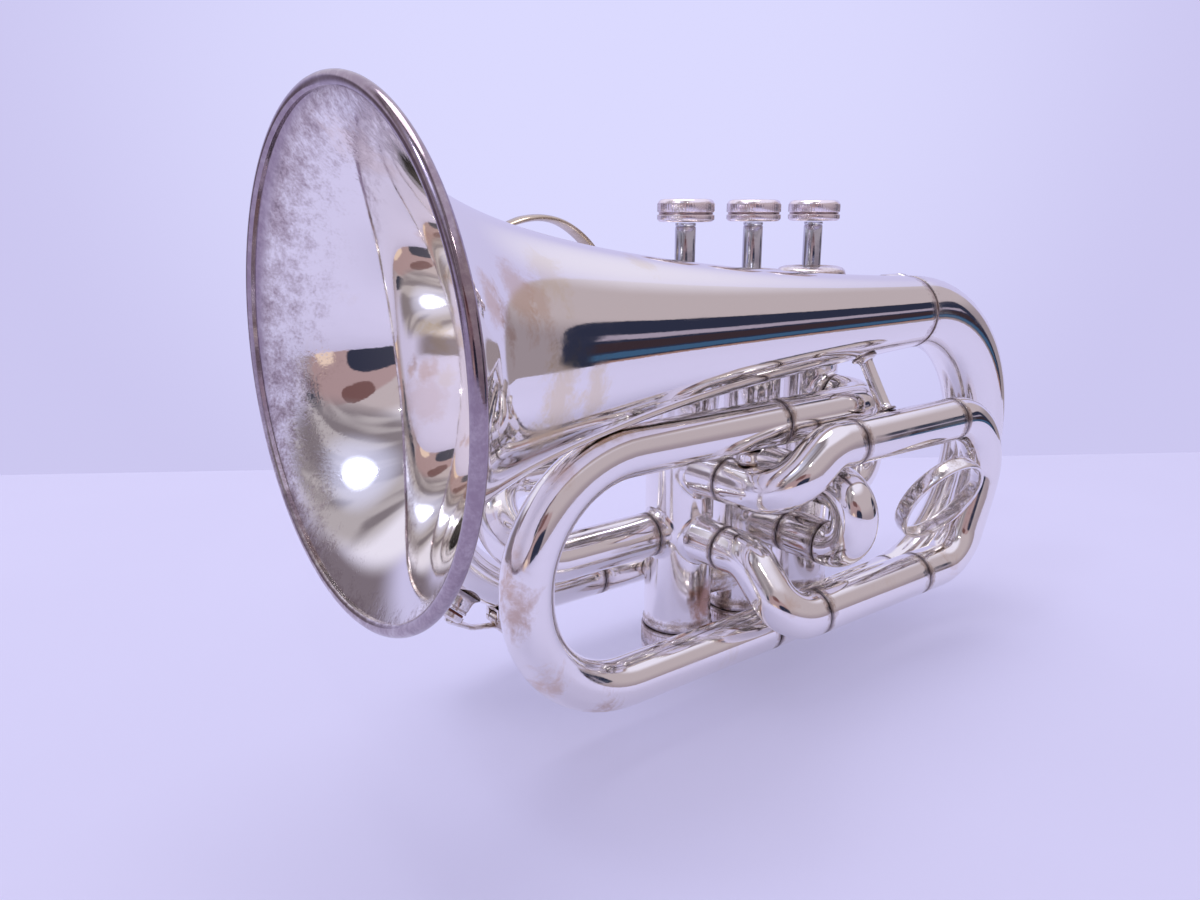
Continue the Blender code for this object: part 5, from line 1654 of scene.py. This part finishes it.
@dataclass
class Crevices:
    """Marks the places that are shut in by nearby surfaces, where tarnish stays after polishing and
    where the finishes paint shade.
    """

    reach: float = 0.011
    rays: int = 10
    lift: float = 0.0002
    gain: float = 1.6

    def build(self) -> None:
        """Write the crevice weight on every shown piece of the trumpet."""
        shown = [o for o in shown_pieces() if o.type == "MESH"]
        points, faces = [], []
        for item in shown:
            start = len(points)
            points += [v.co.copy() for v in item.data.vertices]
            faces += [[start + i for i in p.vertices] for p in item.data.polygons]
        tree = BVHTree.FromPolygons(points, faces)
        golden = math.pi * (3.0 - math.sqrt(5.0))
        fan = []
        for k in range(self.rays):
            height = (k + 0.5) / self.rays
            flat = math.sqrt(1.0 - height * height)
            fan.append((flat * math.cos(golden * k), flat * math.sin(golden * k), height))
        for item in shown:
            layer = item.data.attributes.new("crevice", "FLOAT", "POINT")
            normals = [v.vector for v in item.data.vertex_normals]
            values = []
            for vert, normal in zip(item.data.vertices, normals):
                side = normal.orthogonal().normalized()
                up = normal.cross(side)
                start = vert.co + normal * self.lift
                shut = 0.0
                for a, b, c in fan:
                    _, _, _, far = tree.ray_cast(start, side * a + up * b + normal * c, self.reach)
                    if far is not None:
                        shut += 1.0 - far / self.reach
                values.append(min(1.0, shut / self.rays * self.gain))
            layer.data.foreach_set("value", values)


NAVY: Colour = (0.026, 0.030, 0.062)


@dataclass(frozen=True)
class Patch:
    """A rounded patch of the room: its middle's angle and height, half sizes and colour."""

    middle: tuple[float, float]
    half: tuple[float, float]
    colour: Colour


@dataclass(frozen=True)
class Stripe:
    """A level stripe inside the dark opening: its height, half height and colour."""

    height: float
    half: float
    colour: Colour


@dataclass(frozen=True)
class Lamp:
    """One soft lamp."""

    name: str
    at: Point
    aim: Point
    size: float
    power: float
    colour: Colour

    def hang(self) -> None:
        """Hang the lamp and turn it to its aim."""
        data = bpy.data.lights.new(self.name, "AREA")
        data.shape = "DISK"
        data.size = self.size
        data.energy = self.power
        data.color = self.colour
        item = bpy.data.objects.new(self.name, data)
        item.location = self.at
        away = Vector(self.aim) - Vector(self.at)
        item.rotation_euler = away.to_track_quat("-Z", "Y").to_euler()
        bpy.context.scene.collection.objects.link(item)


@dataclass
class Studio:
    """Pale floor, the room that the silver mirrors, lamps and camera."""

    camera_at: Point = (-0.20823, -0.19778, 0.13302)
    camera_deg: Point = (75.56, 0.0, -37.40)
    lens: float = 27.96
    wall: Colour = (0.605, 0.575, 0.875)
    floor: Colour = (0.455, 0.445, 0.595)
    floor_lift: Colour = (0.285, 0.275, 0.395)
    beige: Colour = (0.335, 0.275, 0.330)
    beige_high: Colour = (0.50, 0.43, 0.48)
    beige_side: Colour = (0.32, 0.27, 0.315)
    dusk: Colour = (0.20, 0.165, 0.21)
    table_reach: float = 0.47
    table_side: Point = (0.85, -0.53, 0.0)
    table_far: tuple[Point, Point] = ((-0.173, 0.360, 0.0), (0.373, 0.002, 0.0))
    table_half_length: float = 3.0
    table_depth: float = 4.0
    ceiling: Colour = (0.84, 0.81, 0.99)
    ceiling_dark: Colour = (0.22, 0.19, 0.225)
    ceiling_light: Colour = (0.46, 0.42, 0.47)
    window_way: Point = (-0.62, 0.03, 0.78)
    window_halo: Colour = (0.85, 0.88, 1.25)
    window: Colour = (1.7, 1.85, 2.6)
    bright_way: Point = (0.60, 0.79, 0.145)
    wall_bright: Colour = (0.71, 0.70, 1.0)
    frost: Colour = (0.17, 0.19, 0.25)
    diffuse_loss: float = 0.16
    opening: Patch = Patch((-0.475, 0.03), (0.165, 0.23), NAVY)
    stripes: tuple[Stripe, ...] = (
        Stripe(0.085, 0.028, (0.36, 0.31, 0.42)),
        Stripe(-0.02, 0.050, (0.040, 0.026, 0.036)),
        Stripe(-0.125, 0.034, (0.045, 0.105, 0.215)),
        Stripe(-0.195, 0.018, (0.34, 0.20, 0.18)))
    furniture: tuple[Patch, ...] = (
        Patch((-2.28, 0.16), (0.42, 0.30), (0.40, 0.28, 0.31)),
        Patch((-2.05, 0.08), (0.22, 0.15), NAVY),
        Patch((-2.27, 0.40), (0.17, 0.09), (0.17, 0.085, 0.09)),
        Patch((-2.78, 0.25), (0.07, 0.13), NAVY),
        Patch((-2.50, -0.02), (0.10, 0.10), (0.80, 0.62, 0.55)))
    lamps: tuple[Lamp, ...] = (
        Lamp("overhead", (0.02, 0.22, 1.20), (0.0, -0.02, 0.0), 0.75, 4.2, (1.0, 0.98, 1.0)),
        Lamp("window", (-0.70, 0.03, 0.98), (-0.05, 0.0, 0.09), 0.14, 0.7, (0.90, 0.94, 1.0)),
        Lamp("spark", (-0.45, -0.75, 0.95), (0.0, 0.0, 0.06), 0.06, 0.35, (1.0, 0.96, 0.92)))

    def build(self) -> None:
        """Build the camera, the floor, the world and the lamps."""
        scene = bpy.context.scene
        scene.view_settings.view_transform = "Standard"
        data = bpy.data.cameras.new("camera")
        data.lens = self.lens
        data.sensor_width = 36.0
        data.clip_start = 0.01
        camera = bpy.data.objects.new("camera", data)
        camera.location = self.camera_at
        camera.rotation_euler = [math.radians(deg) for deg in self.camera_deg]
        scene.collection.objects.link(camera)
        scene.camera = camera
        self.lay_floor()
        self.room()
        for lamp in self.lamps:
            lamp.hang()

    def lay_floor(self) -> None:
        """A pale table top whose far edge is where the photograph's wall begins."""
        far = [Vector(place) for place in self.table_far]
        along = (far[1] - far[0]).normalized()
        near = Vector((along.y, -along.x, 0.0))
        bm = bmesh.new()
        longer = along * self.table_half_length
        corners = [far[0] - longer, far[1] + longer]
        corners += [corners[1] + near * self.table_depth, corners[0] + near * self.table_depth]
        bm.faces.new([bm.verts.new(c) for c in corners])
        mesh = bpy.data.meshes.new("table_top")
        bm.to_mesh(mesh)
        bm.free()
        item = bpy.data.objects.new("table_top", mesh)
        bpy.context.scene.collection.objects.link(item)
        made = bpy.data.materials.new("table_laminate")
        made.use_nodes = True
        w = Wiring(made.node_tree)
        shader = made.node_tree.nodes["Principled BSDF"]
        place = w.add("ShaderNodeTexCoord").outputs["Object"]
        cloud = w.span(w.noise(place, 5.0, 3.0), 0.3, 0.7)
        for socket, tone in (("Base Color", self.floor), ("Emission Color", self.floor_lift)):
            w.put(shader.inputs[socket], w.mix(cloud, tone, tuple(c * 0.975 for c in tone)))
        shader.inputs["Emission Strength"].default_value = 1.0
        shader.inputs["Roughness"].default_value = 0.55
        shader.inputs["Specular IOR Level"].default_value = 0.25
        side = w.vector("DOT_PRODUCT", place, self.table_side)
        beyond = w.span(side, self.table_reach, self.table_reach + 0.012)
        path = w.add("ShaderNodeLightPath")
        clear = w.add("ShaderNodeBsdfTransparent")
        join = w.add("ShaderNodeMixShader")
        w.put(join.inputs[0], w.math("MULTIPLY", beyond, path.outputs["Is Glossy Ray"]))
        w.put(join.inputs[1], shader.outputs[0])
        w.put(join.inputs[2], clear.outputs[0])
        w.put(made.node_tree.nodes["Material Output"].inputs["Surface"], join.outputs[0])
        mesh.materials.append(made)
        item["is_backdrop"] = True

    def oval(self, w: Wiring, turn: object, height: object, patch: Patch,
             power: float) -> bpy.types.NodeSocket:
        """Return a mask of a rounded patch of the room.

        Args:
            w: The wiring.
            turn: Angle about the vertical, in radians.
            height: Height of the direction, from -1 to 1.
            patch: The patch in those two.
            power: How square it is.

        Returns:
            The mask.
        """
        parts = []
        for value, centre, size in zip((turn, height), patch.middle, patch.half):
            away = w.math("ABSOLUTE", w.math("DIVIDE", w.math("SUBTRACT", value, centre), size))
            parts.append(w.math("POWER", away, power))
        return w.span(w.math("ADD", *parts), 1.12, 0.88)

    def room(self) -> None:
        """The world: pale to the camera, and a plain room with dark furniture in the silver."""
        world = bpy.data.worlds.new("room")
        bpy.context.scene.world = world
        world.use_nodes = True
        w = Wiring(world.node_tree)
        background = world.node_tree.nodes["Background"]
        way = w.add("ShaderNodeTexCoord").outputs["Generated"]
        part = w.add("ShaderNodeSeparateXYZ")
        w.put(part.inputs[0], way)
        x, y, z = part.outputs
        turn = w.math("ARCTAN2", y, x)
        colour = self.furnished(w, way, turn, z, self.walls(w, turn, y, z))
        colour = self.under_ceiling(w, way, colour)
        seen = w.vector("DOT_PRODUCT", way, Vector(self.bright_way).normalized())
        pale = w.mix(w.span(seen, 0.83, 1.0), self.wall, self.wall_bright)
        path = w.add("ShaderNodeLightPath")
        w.put(background.inputs["Color"], w.mix(path.outputs["Is Camera Ray"], colour, pale))
        lost = w.math("MULTIPLY", path.outputs["Is Diffuse Ray"], self.diffuse_loss)
        w.put(background.inputs["Strength"], w.math("SUBTRACT", 1.0, lost))

    def walls(self, w: Wiring, turn: bpy.types.NodeSocket, y: bpy.types.NodeSocket,
              z: bpy.types.NodeSocket) -> bpy.types.NodeSocket:
        """Colour the walls: beige on the near side, dusk behind, and the pale ceiling.

        Args:
            w: The wiring.
            turn: Angle about the vertical, in radians.
            y: The direction's part towards the leadpipe.
            z: The direction's height.

        Returns:
            The colour.
        """
        near = w.math("MULTIPLY", w.span(turn, 0.10, 0.06), w.span(turn, -3.05, -2.70))
        shade = w.mix(w.span(z, -0.06, 0.30), self.beige, self.beige_high)
        side = w.mix(w.span(z, 0.10, 0.30), self.beige_side, self.beige_high)
        shade = w.mix(w.span(turn, -0.62, -0.46), shade, side)
        back = w.math("MULTIPLY", w.span(turn, 1.75, 2.05), w.span(turn, 2.80, 2.45))
        back = w.math("MULTIPLY", back, w.span(z, 0.52, 0.30))
        colour = w.mix(back, w.mix(near, self.wall, shade), self.dusk)
        over = w.span(w.math("ADD", z, w.math("MULTIPLY", y, 0.25)), 0.46, 0.66)
        return w.mix(over, colour, self.ceiling)

    def furnished(self, w: Wiring, way: bpy.types.NodeSocket, turn: bpy.types.NodeSocket,
                  z: bpy.types.NodeSocket, colour: bpy.types.NodeSocket) -> bpy.types.NodeSocket:
        """Set the dark opening, its stripes and the furniture on the walls.

        Args:
            w: The wiring.
            way: The direction.
            turn: Angle about the vertical, in radians.
            z: The direction's height.
            colour: The walls.

        Returns:
            The colour.
        """
        wobble = w.math("MULTIPLY", w.math("SUBTRACT", w.noise(way, 6.0, 3.0), 0.5), 0.06)
        lean = w.math("ADD", z, wobble)
        sweep = w.math("ADD", turn, wobble)
        strip = w.span(sweep, -0.40, -0.415)
        inner = self.opening.colour
        for stripe in self.stripes:
            away = w.math("ABSOLUTE", w.math("SUBTRACT", lean, stripe.height))
            line = w.math("MULTIPLY", strip, w.span(away, stripe.half + 0.008,
                                                    stripe.half - 0.008))
            inner = w.mix(line, inner, stripe.colour)
        frosted = w.math("MULTIPLY", w.span(turn, -0.52, -0.56), w.span(turn, -0.62, -0.58))
        frosted = w.math("MULTIPLY", frosted, w.span(w.noise(way, 30.0, 4.0, 0.7), 0.44, 0.58))
        inner = w.mix(w.math("MULTIPLY", frosted, 0.6), inner, self.frost)
        colour = w.mix(self.oval(w, sweep, lean, self.opening, 4.0), colour, inner)
        for patch in self.furniture:
            colour = w.mix(self.oval(w, sweep, lean, patch, 2.6), colour, patch.colour)
        return colour

    def under_ceiling(self, w: Wiring, way: bpy.types.NodeSocket,
                      colour: bpy.types.NodeSocket) -> bpy.types.NodeSocket:
        """Set the patterned ceiling and the window's glow over the room.

        Args:
            w: The wiring.
            way: The direction.
            colour: The room below.

        Returns:
            The colour.
        """
        glow = w.vector("DOT_PRODUCT", way, Vector(self.window_way).normalized())
        frond = w.noise(w.vector("MULTIPLY", way, (1.0, 4.5, 1.0)), 1.3, 1.0)
        pattern = w.mix(w.span(frond, 0.42, 0.56), self.ceiling_dark, self.ceiling_light)
        colour = w.mix(w.span(glow, 0.70, 0.84), colour, pattern)
        halo = w.math("MULTIPLY", w.span(glow, 0.90, 0.995), 0.6)
        colour = w.mix(halo, colour, self.window_halo)
        return w.mix(w.span(glow, 0.980, 0.996), colour, self.window)


def dress_inner_works(frame: dict) -> None:
    """Give the pistons and springs, which stay as packed, their own finishes.

    Args:
        frame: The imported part, with its nodes by name.
    """
    for number in (1, 2, 3):
        for node, finish in ((f"piston_{number}", PISTON_NICKEL),
                             (f"piston_spring_{number}", SPRING_WIRE)):
            mesh = frame["nodes"][node].data
            mesh.materials.clear()
            mesh.materials.append(finish.material())
            LOG.info("%s keeps its packed shape", node)


def main() -> None:
    """Build the trumpet piece by piece."""
    logging.basicConfig(level=logging.INFO, format="%(message)s")
    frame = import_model()
    SharedEffects().build()
    bell, third, side = BellBranch(), ThirdSlide(), LeadSide()
    valves = [ValveSet(number) for number in (1, 2, 3)]
    for assembly in (bell, *valves, ValveLinks(), third, SecondSlide(), FirstSlide(), side,
                     WaterKey(side), Braces(bell, third, side), PinkyHook(side)):
        assembly.build()
        LOG.info("%s is built", type(assembly).__name__)
    dress_inner_works(frame)
    Crevices().build()
    Studio().build()


if __name__ == "__main__":
    main()
